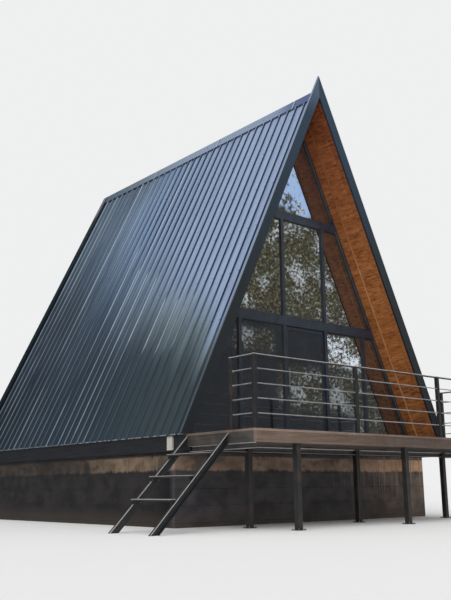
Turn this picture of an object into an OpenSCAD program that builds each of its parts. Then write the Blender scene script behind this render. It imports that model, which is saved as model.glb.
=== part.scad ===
/* [Overall] */
// Width over the roof sheets at the eaves
cabin_w = 6200; // [5900:10:6500]
// Height of the ridge above the floor
roof_rise = 6490; // [6200:10:6800]
// Length of the roof over both verges
roof_len = 7560; // [7300:10:8000]
// Height of the floor and the deck above the ground
floor_z = 1340; // [1250:10:1450]
// Overhang of the roof past each gable wall
overhang = 555; // [500:5:650]

/* [Roof layers] */
// Height of the ribbed roof sheet
sheet_h = 35; // [30:1:40]
// Thickness of the roof sheet
sheet_t = 2; // [1:0.5:3]
// Distance between the ribs of the roof sheets
rib_pitch = 223.5; // [210:0.5:260]
// Ribs on each full roof sheet
ribs_per_sheet = 5; // [3:1:6]
// Width of a rib at its top
rib_top_w = 22; // [16:1:40]
// Width of a rib at its foot
rib_foot_w = 42; // [34:1:66]
// Thickness of the boarding under the sheets
boarding_t = 18; // [15:1:24]
// Depth of a rafter
rafter_d = 134; // [100:1:145]
// Thickness of a rafter
rafter_w = 60; // [45:1:80]
// Number of rafter pairs
rafter_count = 11; // [9:1:13]
// Thickness of the wood lining
lining_t = 20; // [15:1:25]
// Length of a ridge cap wing down the slope
cap_wing = 212; // [180:1:240]
// Thickness of the ridge cap and the back verge trims
trim_t = 3; // [2:0.5:4]
// Distance from the front verge to the first joint in the ridge cap
cap_first_joint = 660; // [500:10:900]
// Length of a ridge cap piece
cap_piece_len = 2280; // [2100:10:2400]
// Distance that the front verge boards stand above the ribs of the sheets
verge_proud = 115; // [90:5:130]
// Thickness of the verge boards
verge_board_t = 35; // [25:1:40]
// Depth of the back verge trim's leg on top of the sheets
back_leg = 200; // [150:5:250]

/* [Foundation and floors] */
// Thickness of a foundation wall
foundation_t = 250; // [200:10:300]
// Distance from the eave line to the outer face of the side foundation walls
foundation_inset = 100; // [80:5:130]
// Height of the edge beams
edge_beam_h = 230; // [200:5:260]
// Width of an edge beam
edge_beam_w = 160; // [140:5:165]
// Thickness of the floor boards
floor_t = 40; // [30:1:50]
// Width of a floor joist
floor_joist_w = 60; // [45:1:80]
// Number of floor joists
floor_joist_count = 11; // [9:1:14]
// Height of the top of the mid beam and the loft floor above the floor
loft_h = 2170; // [2100:10:2300]
// Thickness of the loft boards
loft_t = 28; // [20:1:35]
// Width of a loft tie
loft_tie_w = 60; // [45:1:80]
// Number of loft ties
loft_tie_count = 7; // [6:1:9]
// Width and height of the service box on the left edge beam
service_box = [136, 205]; // [120:1:210]
// Depth of the service box
service_box_d = 30; // [20:1:35]
// Distance of the middle of the service box in front of the glazed gable
service_box_y = 75; // [50:5:150]
// Height of the service box above the foundation
service_box_lift = 15; // [5:1:25]

/* [Glazed gable] */
// Depth of the gable frames
frame_d = 80; // [70:1:100]
// Face width of a slanted frame
slant_w = 60; // [45:1:75]
// Height of the sill
sill_h = 60; // [50:1:80]
// Height of the mid beam
mid_beam_h = 160; // [140:1:190]
// Height of the top of the upper transom above the floor
transom_top = 4115; // [3900:5:4250]
// Height of the upper transom
transom_h = 150; // [120:1:170]
// Face width of a mullion
mullion_w = 70; // [60:1:80]
// Distance between mullion centres
mullion_pitch = 1045; // [980:5:1090]
// Thickness of the panes
glass_t = 24; // [18:1:28]

/* [Door] */
// Gap round the door leaf
door_gap = 5; // [5:0.5:8]
// Thickness of the door leaf
door_t = 50; // [44:1:58]
// Width of a door stile
stile_w = 50; // [40:1:70]
// Height of the top rail of the door
top_rail_h = 60; // [50:1:80]
// Height of the bottom rail of the door
bottom_rail_h = 90; // [70:1:120]
// Thickness of the door's pane
door_glass_t = 20; // [16:1:24]
// Length of the pull handle
pull_len = 420; // [300:10:600]
// Diameter of the pull handle
pull_d = 25; // [20:1:30]
// Distance between the pull handle and the door leaf
pull_reach = 45; // [40:1:60]
// Height of the middle of the pull handle above the floor
pull_z = 1050; // [950:10:1150]
// Radius of a hinge knuckle
knuckle_r = 9; // [8:0.5:10]
// Length of one hinge knuckle
knuckle_len = 50; // [40:1:60]

/* [Back gable] */
// Thickness of the back wall
back_wall_t = 140; // [120:5:160]
// Width and height of the lower back window
lower_window = [1200, 1100]; // [1000:10:1300]
// Height of the lower back window's sill above the floor
lower_window_z = 850; // [700:10:900]
// Width and height of the upper back window
upper_window = [900, 900]; // [700:10:1000]
// Height of the upper back window's sill above the loft floor
upper_window_z = 500; // [400:10:600]
// Face width of a back window frame
window_frame_w = 60; // [50:1:80]
// Depth of a back window frame
window_frame_d = 70; // [60:1:90]

/* [Deck] */
// Distance from the deck's front edge to the verge
deck_reach = 1460; // [1300:10:1500]
// Thickness of the deck boards
deck_board_t = 28; // [22:1:32]
// Height of the deck fascia
fascia_h = 180; // [160:1:200]
// Thickness of the deck fascia
fascia_t = 35; // [25:1:40]
// Width of a deck joist
deck_joist_w = 45; // [40:1:60]
// Number of inner deck joists
deck_joist_count = 13; // [11:1:15]
// Height of the steel deck beams
steel_h = 80; // [70:1:100]
// Flange width of the steel deck beams
steel_w = 55; // [50:1:60]
// Thickness of the steel in the deck beams
steel_t = 6; // [5:0.5:8]
// Side of a square deck post
post_w = 80; // [70:1:100]
// Distance from the deck's left edge to the first post
post_inset = 860; // [750:10:950]
// Distance between the posts of a row
post_pitch = 2390; // [2300:10:2450]
// Distance from the deck's front edge to the first row of posts
front_row_y = 100; // [90:5:140]
// Distance between the two rows of posts
row_pitch = 1000; // [900:10:1100]

/* [Railing] */
// Height of the railing above the deck
rail_h = 1000; // [900:10:1100]
// Side of a square railing post
rail_post_w = 60; // [50:1:70]
// Number of bays in the front railing
rail_bays = 3; // [3:1:4]
// Number of thin bars under the top rail
rail_bars = 4; // [3:1:5]
// Diameter of a thin bar
rail_bar_d = 16; // [12:1:20]
// Width and height of the top rail
top_rail = [40, 25]; // [20:1:50]
// Length of the short railing beside the stair
left_rail_len = 500; // [420:10:500]

/* [Stair] */
// Distance of the stair's foot from the deck's edge
stair_run = 1285; // [1150:5:1400]
// Clear width between the stringers
stair_clear_w = 880; // [800:10:940]
// Distance of the stair's front stringer from the deck's front edge
stair_y = 535; // [510:5:580]
// Depth of a stringer
stringer_d = 100; // [80:1:120]
// Flange width of a stringer
stringer_w = 45; // [40:1:55]
// Thickness of the steel in a stringer
stringer_t = 6; // [5:0.5:8]
// Number of treads
tread_count = 3; // [3:1:4]
// Rise from one tread to the next
tread_rise = 301; // [250:1:320]
// Depth of a tread
tread_d = 220; // [180:1:260]
// Thickness of a tread
tread_t = 25; // [20:1:40]

/* [Hidden] */

half_w = cabin_w / 2;
slope = atan(roof_rise / half_w);
run_per_rise = half_w / roof_rise;
ridge_z = floor_z + roof_rise;
roof_y0 = -overhang;
roof_y1 = roof_y0 + roof_len;
wall_back_y = roof_y1 - overhang;
// gap between pieces that rest on each other
seat_gap = 0.4;
// depths of the roof layers below the top of the sheet ribs, square to the slope
sheet_base = seat_gap + sheet_h;
boarding_top = sheet_base + seat_gap;
rafter_top = boarding_top + boarding_t;
rafter_foot = rafter_top + rafter_d;
lining_top = rafter_foot + seat_gap;
lining_face = lining_top + lining_t + seat_gap;
// the lining rises to the boarding in the overhangs, so it is this deep at a verge
verge_lining = rafter_top + seat_gap;
verge_foot = verge_lining + lining_t;
layer_y0 = roof_y0 + verge_board_t;
layer_y1 = roof_y1 - verge_board_t;

// as many ribs as fit between the verges, the row of them in the middle of the roof
rib_count = floor((layer_y1 - layer_y0 - rib_foot_w) / rib_pitch) + 1;
first_rib_y = (layer_y0 + layer_y1 - (rib_count - 1) * rib_pitch) / 2;
sheet_count = ceil(rib_count / ribs_per_sheet);
// distance that the sheets stop short of the eave and of the ridge line
sheet_end_gap = 5;
rafter_pitch = (wall_back_y - rafter_w) / (rafter_count - 1);

foundation_h = floor_z - edge_beam_h;
foundation_x = half_w - foundation_inset;
foundation_back_y = wall_back_y - back_wall_t / 2;
edge_x1 = half_w - across(rafter_top);
edge_x0 = edge_x1 - edge_beam_w;
end_beam_y = [-edge_beam_w / 2, foundation_back_y - edge_beam_w / 2];
floor_y0 = end_beam_y[0] + edge_beam_w;
floor_y1 = end_beam_y[1];

loft_z = floor_z + loft_h;
loft_under = loft_z - mid_beam_h;
transom_z = floor_z + transom_top;
sill_top = floor_z + sill_h;
mullion_xs = [for (i = [-1.5 : 1 : 1.5]) i * mullion_pitch];
door_half = mullion_pitch / 2 - mullion_w / 2 - door_gap;
door_z0 = sill_top + door_gap;
door_z1 = loft_under - door_gap;
glass_y = (frame_d - glass_t) / 2;
door_glass_y = frame_d - (door_t + door_glass_t) / 2;
hinge_x = mullion_pitch / 2 - mullion_w / 2 - door_gap / 2;
hinge_y = frame_d + knuckle_r;
hinge_plate_w = 38;
hinge_plate_t = 3;
hinge_count = 3;
hinge_end = 220;
// share of the pull handle's length from its middle to a stand-off, and a stand-off's share of its diameter
stand_share = 0.38;
stand_d_share = 0.6;

deck_y0 = roof_y0 - deck_reach;
deck_inner_x = half_w - fascia_t;
fascia_end_y = deck_y0 + stair_y + stair_clear_w + 2 * stringer_w;
joist_top = floor_z - deck_board_t;
joist_z = floor_z - fascia_h;
steel_z = joist_z - steel_h;
post_xs = [for (i = [0 : 2]) -half_w + post_inset + i * post_pitch];
rim_y = deck_y0 + fascia_t + deck_joist_w;
beam_half = deck_inner_x - steel_w - seat_gap;

rail_x = half_w - rail_post_w / 2;
rail_y = deck_y0 + rail_post_w / 2;
rail_pitch = 2 * rail_x / rail_bays;
bar_pitch = rail_h / (rail_bars + 1);

stair_top_drop = 34;
stair_slope = atan((floor_z - stair_top_drop) / stair_run);
stair_back_y = deck_y0 + stair_y + stringer_w + stair_clear_w;
$fn = 48;

// horizontal width of a roof layer that is d thick square to the slope
function across(d) = d / sin(slope);
// distance from the middle to a plane d below the ribs, at height z
function half_at(d, z) = half_w - across(d) - (z - floor_z) * run_per_rise;
// height at which that plane meets the middle
function peak(d) = ridge_z - across(d) / run_per_rise;

// one slope's strip between two depths, as seen from the front, on the left
module strip(d0, d1, z0 = floor_z) {
  polygon([
    [-half_at(d0, z0), z0], [0, peak(d0)], [0, peak(d1)], [-half_at(d1, z0), z0]
  ]);
}

// a front outline drawn upright and run back from y0 to y1
module run_back(y0, y1) {
  translate([0, y1, 0]) rotate([90, 0, 0]) linear_extrude(y1 - y0) children();
}

// a level member across the gable that ends on both slopes
module cross_piece(d, z0, z1) {
  polygon([
    [-half_at(d, z0), z0], [half_at(d, z0), z0], [half_at(d, z1), z1], [-half_at(d, z1), z1]
  ]);
}

module mirrored_pair() {
  children();
  mirror([1, 0, 0]) children();
}

// a box between two corners
module block(low, high) {
  translate(low) cube(high - low);
}

// Foundation and floors

module foundation_wall_x(y) {
  color("#3a3638")
    block([-foundation_x, y - foundation_t / 2, 0], [foundation_x, y + foundation_t / 2, foundation_h]);
}

module front_foundation_wall() foundation_wall_x(0);

module back_foundation_wall() foundation_wall_x(foundation_back_y);

module left_foundation_wall() {
  color("#3a3638") block(
    [-foundation_x, foundation_t / 2, 0],
    [-foundation_x + foundation_t, foundation_back_y - foundation_t / 2, foundation_h]);
}

module right_foundation_wall() mirror([1, 0, 0]) left_foundation_wall();

module side_edge_beams() {
  color("#26282f") mirrored_pair()
    block([-edge_x1, roof_y0, foundation_h], [-edge_x0, roof_y1, floor_z]);
}

module end_edge_beams() {
  color("#26282f") for (y = end_beam_y)
    block([-edge_x0, y, foundation_h], [edge_x0, y + edge_beam_w, floor_z]);
}

module cabin_floor() {
  color("#8a6a4a")
    block([-edge_x0, floor_y0, floor_z - floor_t], [edge_x0, floor_y1, floor_z]);
}

module floor_joists() {
  pitch = (floor_y1 - floor_y0 - floor_joist_w) / (floor_joist_count - 1);
  color("#b08a5c") for (i = [0 : floor_joist_count - 1]) {
    y = floor_y0 + i * pitch;
    block([-edge_x0, y, foundation_h], [edge_x0, y + floor_joist_w, floor_z - floor_t]);
  }
}

module loft_floor() {
  color("#8a5a34")
    run_back(frame_d, wall_back_y - back_wall_t)
      cross_piece(lining_face + seat_gap, loft_z - loft_t, loft_z);
}

module loft_ties() {
  y0 = frame_d;
  pitch = (wall_back_y - back_wall_t - y0 - loft_tie_w) / (loft_tie_count - 1);
  color("#b08a5c") for (i = [0 : loft_tie_count - 1])
    run_back(y0 + i * pitch, y0 + i * pitch + loft_tie_w)
      cross_piece(lining_face + seat_gap, loft_under, loft_z - loft_t);
}

// Roof

module left_rafters() {
  color("#b08a5c") for (i = [0 : rafter_count - 1])
    run_back(i * rafter_pitch, i * rafter_pitch + rafter_w) strip(rafter_top, rafter_foot);
}

module right_rafters() mirror([1, 0, 0]) left_rafters();

module left_boarding() {
  color("#a58358") run_back(layer_y0, layer_y1) strip(boarding_top, rafter_top);
}

module right_boarding() mirror([1, 0, 0]) left_boarding();

// the lining's section along the roof: level inside, rising to the verges in both overhangs
module lining_section() {
  polygon(concat(
    [[layer_y0, -verge_lining], [0, -lining_top], [wall_back_y, -lining_top], [layer_y1, -verge_lining]],
    [[layer_y1, -verge_foot], [wall_back_y, -lining_top - lining_t], [0, -lining_top - lining_t],
      [layer_y0, -verge_foot]]
  ));
}

module left_lining() {
  slope_len = half_w / cos(slope);
  color("#96501e") intersection() {
    run_back(layer_y0, layer_y1) strip(0, lining_face);
    on_left_slope(0) translate([-slope_len, 0, 0]) rotate([90, 0, 90])
      linear_extrude(3 * slope_len) lining_section();
  }
}

module right_lining() mirror([1, 0, 0]) left_lining();

// the first rib of sheet n, and the place along the roof where that sheet starts
function first_rib(n) = min(n * ribs_per_sheet, rib_count);
function sheet_start(n) =
  n == 0 ? layer_y0 : n == sheet_count ? layer_y1 : first_rib_y + (first_rib(n) - 0.5) * rib_pitch;

// the trapezoidal ribs of sheet n along one of its faces
function rib_line(n, lift) = [
  for (i = [first_rib(n) : first_rib(n + 1) - 1]) let (y = first_rib_y + i * rib_pitch) each [
    [y - rib_foot_w / 2, lift], [y - rib_top_w / 2, lift + sheet_h - sheet_t],
    [y + rib_top_w / 2, lift + sheet_h - sheet_t], [y + rib_foot_w / 2, lift]
  ]
];

function reversed(list) = [for (i = [len(list) - 1 : -1 : 0]) list[i]];

module sheet_section(n) {
  y0 = sheet_start(n) + seat_gap;
  y1 = sheet_start(n + 1) - seat_gap;
  polygon(concat(
    [[y0, sheet_t]], rib_line(n, sheet_t), [[y1, sheet_t]],
    [[y1, 0]], reversed(rib_line(n, 0)), [[y0, 0]]
  ));
}

// places what is drawn at depth d below the ribs: x up the left slope, y back, z square to it
module on_left_slope(d) {
  translate([-half_at(d, floor_z), 0, floor_z]) rotate([0, -slope, 0]) children();
}

module left_roof_sheets() {
  len = half_at(sheet_base, floor_z) / cos(slope) - 2 * sheet_end_gap;
  color("#46505f") on_left_slope(sheet_base) for (n = [0 : sheet_count - 1])
    translate([sheet_end_gap, 0, 0]) rotate([90, 0, 90]) linear_extrude(len) sheet_section(n);
}

module right_roof_sheets() mirror([1, 0, 0]) left_roof_sheets();

module cap_section() {
  wing_x = cap_wing * cos(slope);
  wing_z = cap_wing * sin(slope);
  lip = [trim_t * sin(slope), trim_t * cos(slope)];
  polygon([
    [0, ridge_z], [-wing_x, ridge_z - wing_z], [-wing_x - lip.x, ridge_z - wing_z + lip.y],
    [0, ridge_z + trim_t / cos(slope)],
    [wing_x + lip.x, ridge_z - wing_z + lip.y], [wing_x, ridge_z - wing_z]
  ]);
}

module ridge_cap() {
  y1 = roof_y1 - back_leg;
  joints = concat(
    [layer_y0], [for (y = [roof_y0 + cap_first_joint : cap_piece_len : y1 - cap_piece_len / 3]) y], [y1]
  );
  color("#8090a6") for (i = [0 : len(joints) - 2])
    run_back(joints[i] + seat_gap, joints[i + 1]) cap_section();
}

module front_left_verge() {
  color("#37424f") run_back(roof_y0, layer_y0) strip(-verge_proud, verge_foot);
}

module front_right_verge() mirror([1, 0, 0]) front_left_verge();

module back_left_verge() {
  color("#37424f") {
    run_back(layer_y1, roof_y1) strip(-trim_t, verge_foot);
    run_back(roof_y1 - back_leg, layer_y1) strip(-trim_t, 0);
  }
}

module back_right_verge() mirror([1, 0, 0]) back_left_verge();

// Glazed gable

module left_slanted_frame() {
  color("#2a2d33") run_back(0, frame_d) strip(lining_face, lining_face + slant_w);
}

module right_slanted_frame() mirror([1, 0, 0]) left_slanted_frame();

module frame_member(z0, z1) {
  color("#2a2d33") run_back(0, frame_d) cross_piece(lining_face + slant_w + seat_gap, z0, z1);
}

module front_sill() frame_member(floor_z, sill_top);

module mid_beam() frame_member(loft_under, loft_z);

module top_transom() frame_member(transom_z - transom_h, transom_z);

module mullions() {
  color("#2a2d33") {
    for (x = mullion_xs)
      block([x - mullion_w / 2, 0, sill_top], [x + mullion_w / 2, frame_d, loft_under]);
    for (x = [-1, 1] * mullion_pitch / 2)
      block([x - mullion_w / 2, 0, loft_z], [x + mullion_w / 2, frame_d, transom_z - transom_h]);
  }
}

module gable_glass() {
  color("#6f8088", 0.5) difference() {
    run_back(glass_y, glass_y + glass_t)
      polygon([
        [-half_at(lining_face + slant_w, sill_top), sill_top],
        [half_at(lining_face + slant_w, sill_top), sill_top],
        [0, peak(lining_face + slant_w)]
      ]);
    for (z = [loft_under, transom_z - transom_h])
      block([-half_w, -1, z], [half_w, frame_d + 1, z == loft_under ? loft_z : transom_z]);
    for (x = mullion_xs)
      block([x - mullion_w / 2, -1, floor_z], [x + mullion_w / 2, frame_d + 1, loft_z - 1]);
    for (x = [-1, 1] * mullion_pitch / 2)
      block([x - mullion_w / 2, -1, loft_z - 1], [x + mullion_w / 2, frame_d + 1, transom_z - 1]);
    block([-mullion_pitch / 2, -1, floor_z], [mullion_pitch / 2, frame_d + 1, loft_z - 1]);
  }
}

// Door

module hinge_knuckle(side, z) {
  x0 = side < 0 ? hinge_x - hinge_plate_w : hinge_x;
  translate([hinge_x, hinge_y, z]) cylinder(r = knuckle_r, h = knuckle_len);
  block([x0, frame_d, z], [x0 + hinge_plate_w, frame_d + hinge_plate_t, z + knuckle_len]);
}

module at_hinges() {
  for (i = [0 : hinge_count - 1])
    translate([0, 0, door_z0 + hinge_end
      + i * (door_z1 - door_z0 - 2 * hinge_end - knuckle_len) / (hinge_count - 1)]) children();
}

module door_leaf() {
  y0 = frame_d - door_t;
  color("#2a2d33") {
    difference() {
      block([-door_half, y0, door_z0], [door_half, frame_d, door_z1]);
      block(
        [-door_half + stile_w, y0 - 1, door_z0 + bottom_rail_h],
        [door_half - stile_w, frame_d + 1, door_z1 - top_rail_h]);
    }
    at_hinges() hinge_knuckle(-1, knuckle_len + seat_gap);
  }
}

module door_glass() {
  color("#6f8088", 0.5) block(
    [-door_half + stile_w, door_glass_y, door_z0 + bottom_rail_h],
    [door_half - stile_w, door_glass_y + door_glass_t, door_z1 - top_rail_h]);
}

module pull_handle() {
  x = -door_half + stile_w / 2;
  stand = pull_len * stand_share;
  translate([x, -pull_reach, floor_z + pull_z - pull_len / 2]) cylinder(d = pull_d, h = pull_len);
  for (z = [-stand, stand])
    translate([x, 0, floor_z + pull_z + z]) rotate([90, 0, 0]) cylinder(d = pull_d * stand_d_share, h = pull_reach);
}

module door_handles() {
  color("#9a9da0") {
    translate([0, frame_d - door_t, 0]) pull_handle();
    translate([0, frame_d, 0]) mirror([0, 1, 0]) pull_handle();
  }
}

module door_hinges() {
  color("#2a2d33") at_hinges() hinge_knuckle(1, 0);
}

// Back gable

module window_hole(size, z, frame_w) {
  translate([-size.x / 2 + frame_w, z + frame_w]) square([size.x - 2 * frame_w, size.y - 2 * frame_w]);
}

module window_holes(frame_w) {
  window_hole(lower_window, floor_z + lower_window_z, frame_w);
  window_hole(upper_window, loft_z + upper_window_z, frame_w);
}

module back_wall() {
  y1 = wall_back_y;
  color("#7d4a22") difference() {
    run_back(y1 - back_wall_t, y1) polygon([
      [-half_at(lining_face, floor_z), floor_z], [half_at(lining_face, floor_z), floor_z], [0, peak(lining_face)]
    ]);
    run_back(y1 - back_wall_t - 1, y1 + 1) window_holes(0);
  }
}

module in_back_wall(depth) {
  y = wall_back_y - (back_wall_t - depth) / 2;
  run_back(y - depth, y) children();
}

module back_window_frames() {
  color("#2a2d33") difference() {
    in_back_wall(window_frame_d) window_holes(0);
    in_back_wall(window_frame_d + 2) window_holes(window_frame_w);
  }
}

module back_window_glass() {
  color("#6f8088", 0.5) in_back_wall(glass_t) window_holes(window_frame_w);
}

// Deck

module deck_boards() {
  color("#7a6c60") {
    block([-deck_inner_x, deck_y0 + fascia_t, joist_top], [deck_inner_x, roof_y0, floor_z]);
    block([-edge_x0, roof_y0 - 1, joist_top], [edge_x0, end_beam_y[0], floor_z]);
  }
}

module deck_joists() {
  inner_half = edge_x0 - deck_joist_w;
  pitch = 2 * inner_half / (deck_joist_count - 1);
  color("#3a3532") {
    for (i = [0 : deck_joist_count - 1])
      block(
        [-inner_half + i * pitch - deck_joist_w / 2, rim_y + seat_gap, joist_z],
        [-inner_half + i * pitch + deck_joist_w / 2, end_beam_y[0], joist_top]);
    block([-deck_inner_x, deck_y0 + fascia_t, joist_z], [deck_inner_x, rim_y, joist_top]);
    mirrored_pair() block(
      [-deck_inner_x, rim_y + seat_gap, joist_z], [-deck_inner_x + deck_joist_w, roof_y0, joist_top]);
  }
}

module front_fascia() {
  color("#695c53")
    block([-half_w, deck_y0, floor_z - fascia_h], [half_w, deck_y0 + fascia_t, floor_z]);
}

module side_fascias() {
  color("#4b4845") mirrored_pair()
    block([-half_w, deck_y0 + fascia_t, floor_z - fascia_h], [-deck_inner_x, fascia_end_y, floor_z]);
}

module channel_section(h, w, t) {
  difference() {
    square([w, h]);
    translate([-1, t]) square([w - t + 1, h - 2 * t]);
  }
}

// a channel along the x axis, open towards the front
module channel_x(x0, x1, y) {
  translate([x0, y - steel_w / 2, steel_z]) rotate([90, 0, 90])
    linear_extrude(x1 - x0) channel_section(steel_h, steel_w, steel_t);
}

// the inner row's beam in lengths between its posts, and a beam along each side back to the edge beams
module deck_beams() {
  y0 = rim_y;
  y1 = roof_y0 - seat_gap;
  stops = concat([-beam_half - post_w / 2 - seat_gap], post_xs, [beam_half + post_w / 2 + seat_gap]);
  reach = post_w / 2 + seat_gap;
  color("#232529") {
    for (i = [0 : len(stops) - 2])
      channel_x(stops[i] + reach, stops[i + 1] - reach, deck_y0 + front_row_y + row_pitch);
    mirrored_pair() translate([-deck_inner_x, y1, steel_z]) rotate([90, 0, 0])
      linear_extrude(y1 - y0) channel_section(steel_h, steel_w, steel_t);
  }
}

module deck_posts() {
  color("#25272b") for (x = post_xs, j = [0, 1])
    translate([x - post_w / 2, deck_y0 + front_row_y + j * row_pitch - post_w / 2, 0])
      cube([post_w, post_w, joist_z]);
}

// Railing

module rail_post(x, y) {
  block([x - rail_post_w / 2, y - rail_post_w / 2, floor_z], [x + rail_post_w / 2, y + rail_post_w / 2, floor_z + rail_h]);
}

// top rail and thin bars along the x axis from x0 to x1
module rail_lines(x0, x1) {
  block([x0, -top_rail.x / 2, floor_z + rail_h - top_rail.y], [x1, top_rail.x / 2, floor_z + rail_h]);
  for (i = [1 : rail_bars])
    translate([x0, 0, floor_z + i * bar_pitch]) rotate([0, 90, 0]) cylinder(d = rail_bar_d, h = x1 - x0);
}

module front_railing() {
  color("#26282c") {
    for (i = [0 : rail_bays]) rail_post(-rail_x + i * rail_pitch, rail_y);
    translate([0, rail_y, 0]) rail_lines(-rail_x, rail_x);
  }
}

module side_railing(len) {
  y0 = rail_y + rail_post_w / 2;
  y1 = deck_y0 + len;
  rail_post(-rail_x, y1);
  translate([-rail_x, y0, 0]) rotate([0, 0, 90]) rail_lines(0, y1 - y0);
}

module left_railing() {
  color("#26282c") side_railing(left_rail_len);
}

module right_railing() {
  color("#26282c") mirror([1, 0, 0]) side_railing(deck_reach - rail_post_w);
}

// Stair

// the side outline of a stringer, trimmed by m on its upper and lower edges
module stringer_outline(m) {
  up = (stringer_d - m) / cos(stair_slope);
  down = m / cos(stair_slope);
  top = floor_z - stair_top_drop;
  lean = tan(stair_slope);
  polygon([
    [0, top - down], [0, top - up],
    [-(top - up) / lean, 0], [-(top - down) / lean, 0]
  ]);
}

// a channel on the slope, open towards the stair's outside
module stringer() {
  difference() {
    linear_extrude(stringer_w) stringer_outline(0);
    translate([0, 0, stringer_t]) linear_extrude(stringer_w) stringer_outline(stringer_t);
  }
}

module stair_stringers() {
  x = -half_w - seat_gap;
  color("#2b2d31") {
    translate([x, deck_y0 + stair_y + stringer_w, 0]) rotate([90, 0, 0]) stringer();
    translate([x, stair_back_y, 0]) mirror([0, 1, 0]) rotate([90, 0, 0]) stringer();
  }
}

module stair_treads() {
  lean = tan(stair_slope);
  y0 = deck_y0 + stair_y + stringer_w;
  color("#33302d") for (i = [1 : tread_count]) {
    z = floor_z - i * tread_rise;
    x = -half_w - (floor_z - stair_top_drop - z) / lean - seat_gap;
    block([x - tread_d / 2, y0, z - tread_t], [x + tread_d / 2, stair_back_y, z]);
  }
}

module service_box_left() {
  color("#c9c7ba") block(
    [-edge_x1 - service_box_d, -service_box_y - service_box.x / 2, foundation_h + service_box_lift],
    [-edge_x1, -service_box_y + service_box.x / 2, foundation_h + service_box_lift + service_box.y]);
}

front_foundation_wall();
back_foundation_wall();
left_foundation_wall();
right_foundation_wall();
side_edge_beams();
end_edge_beams();
cabin_floor();
floor_joists();
loft_floor();
loft_ties();
left_rafters();
right_rafters();
left_boarding();
right_boarding();
left_roof_sheets();
right_roof_sheets();
ridge_cap();
front_left_verge();
front_right_verge();
back_left_verge();
back_right_verge();
left_lining();
right_lining();
left_slanted_frame();
right_slanted_frame();
front_sill();
mid_beam();
top_transom();
mullions();
gable_glass();
door_leaf();
door_glass();
door_handles();
door_hinges();
back_wall();
back_window_frames();
back_window_glass();
deck_boards();
deck_joists();
front_fascia();
side_fascias();
deck_beams();
deck_posts();
front_railing();
left_railing();
right_railing();
stair_stringers();
stair_treads();
service_box_left();
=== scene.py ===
"""The looks of the a-frame cabin: finishes, boards, trims, fixings, lamps and the camera."""
import math
import random

import bmesh
import bpy
from mathutils import Matrix, Vector


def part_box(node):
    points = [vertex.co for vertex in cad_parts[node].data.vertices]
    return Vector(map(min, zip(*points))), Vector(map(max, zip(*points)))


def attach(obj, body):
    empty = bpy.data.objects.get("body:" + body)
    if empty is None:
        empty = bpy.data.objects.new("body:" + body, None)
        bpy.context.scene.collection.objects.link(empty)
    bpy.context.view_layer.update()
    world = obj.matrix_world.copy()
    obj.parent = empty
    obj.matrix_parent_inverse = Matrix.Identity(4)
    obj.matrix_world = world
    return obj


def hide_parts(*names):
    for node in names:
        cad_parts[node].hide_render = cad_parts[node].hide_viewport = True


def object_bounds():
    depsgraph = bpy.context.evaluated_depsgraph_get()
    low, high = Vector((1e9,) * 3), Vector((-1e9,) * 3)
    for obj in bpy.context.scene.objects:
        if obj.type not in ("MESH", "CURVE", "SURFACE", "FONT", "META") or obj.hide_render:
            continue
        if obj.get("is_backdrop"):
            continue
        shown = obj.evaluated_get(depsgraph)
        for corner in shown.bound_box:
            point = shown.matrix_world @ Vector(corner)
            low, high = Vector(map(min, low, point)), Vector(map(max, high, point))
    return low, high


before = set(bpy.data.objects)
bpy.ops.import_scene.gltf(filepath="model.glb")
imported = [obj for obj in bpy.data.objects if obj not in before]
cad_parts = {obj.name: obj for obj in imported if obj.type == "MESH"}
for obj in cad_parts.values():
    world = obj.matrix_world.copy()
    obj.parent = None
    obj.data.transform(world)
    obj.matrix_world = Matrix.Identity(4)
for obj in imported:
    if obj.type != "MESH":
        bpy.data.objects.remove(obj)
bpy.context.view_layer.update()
dice = random.Random(64)
X, Y, Z = Vector((1, 0, 0)), Vector((0, 1, 0)), Vector((0, 0, 1))
SIDES = {"left": -1, "right": 1}

# Sizes in metres, worked out from the frame where it has them

fascia_low, fascia_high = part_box("front_fascia")
FLOOR_Z = fascia_high.z
HALF_W = fascia_high.x
DECK_Y = fascia_low.y
JOIST_Z = fascia_low.z
boarding_low, boarding_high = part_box("left_boarding")
SLOPE = math.atan2(boarding_high.z - FLOOR_Z, -boarding_low.x)
COS, SIN = math.cos(SLOPE), math.sin(SLOPE)
RISE = HALF_W * math.tan(SLOPE)
SLOPE_LEN = HALF_W / COS
VERGE_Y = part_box("front_left_verge")[0].y
LAYER_Y = (boarding_low.y, boarding_high.y)
VERGE_BACK_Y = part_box("back_left_verge")[1].y
WALL_BACK_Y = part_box("back_wall")[1].y
WALL_IN_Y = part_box("back_wall")[0].y
FRAME_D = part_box("mid_beam")[1].y
LOFT_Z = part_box("loft_floor")[1].z


def depth_of(node):
    """How deep a layer's upper face lies below the tops of the ribs, square to the slope."""
    return (HALF_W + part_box(node)[0].x) * SIN


PROUD = -depth_of("front_left_verge")
LINING_T = 0.020
LINING_FACE = depth_of("left_slanted_frame") - 0.0004
VERGE_LINING = depth_of("left_lining")
RIBS, RIBS_PER_SHEET = 34, 5
RIB_PITCH = 0.2235
RIB_TOP_W = 0.022
FIRST_RIB = (LAYER_Y[0] + LAYER_Y[1] - (RIBS - 1) * RIB_PITCH) / 2
RIB_FOOT_W = 0.042
CROWN = (0.5 - RIB_TOP_W / RIB_PITCH / 2, 0.5 + RIB_TOP_W / RIB_PITCH / 2)
WEB = 0.5 - RIB_FOOT_W / RIB_PITCH / 2
FIRST_CAP, CAP_LENGTH = 0.66, 2.28


# Finishes

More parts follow.
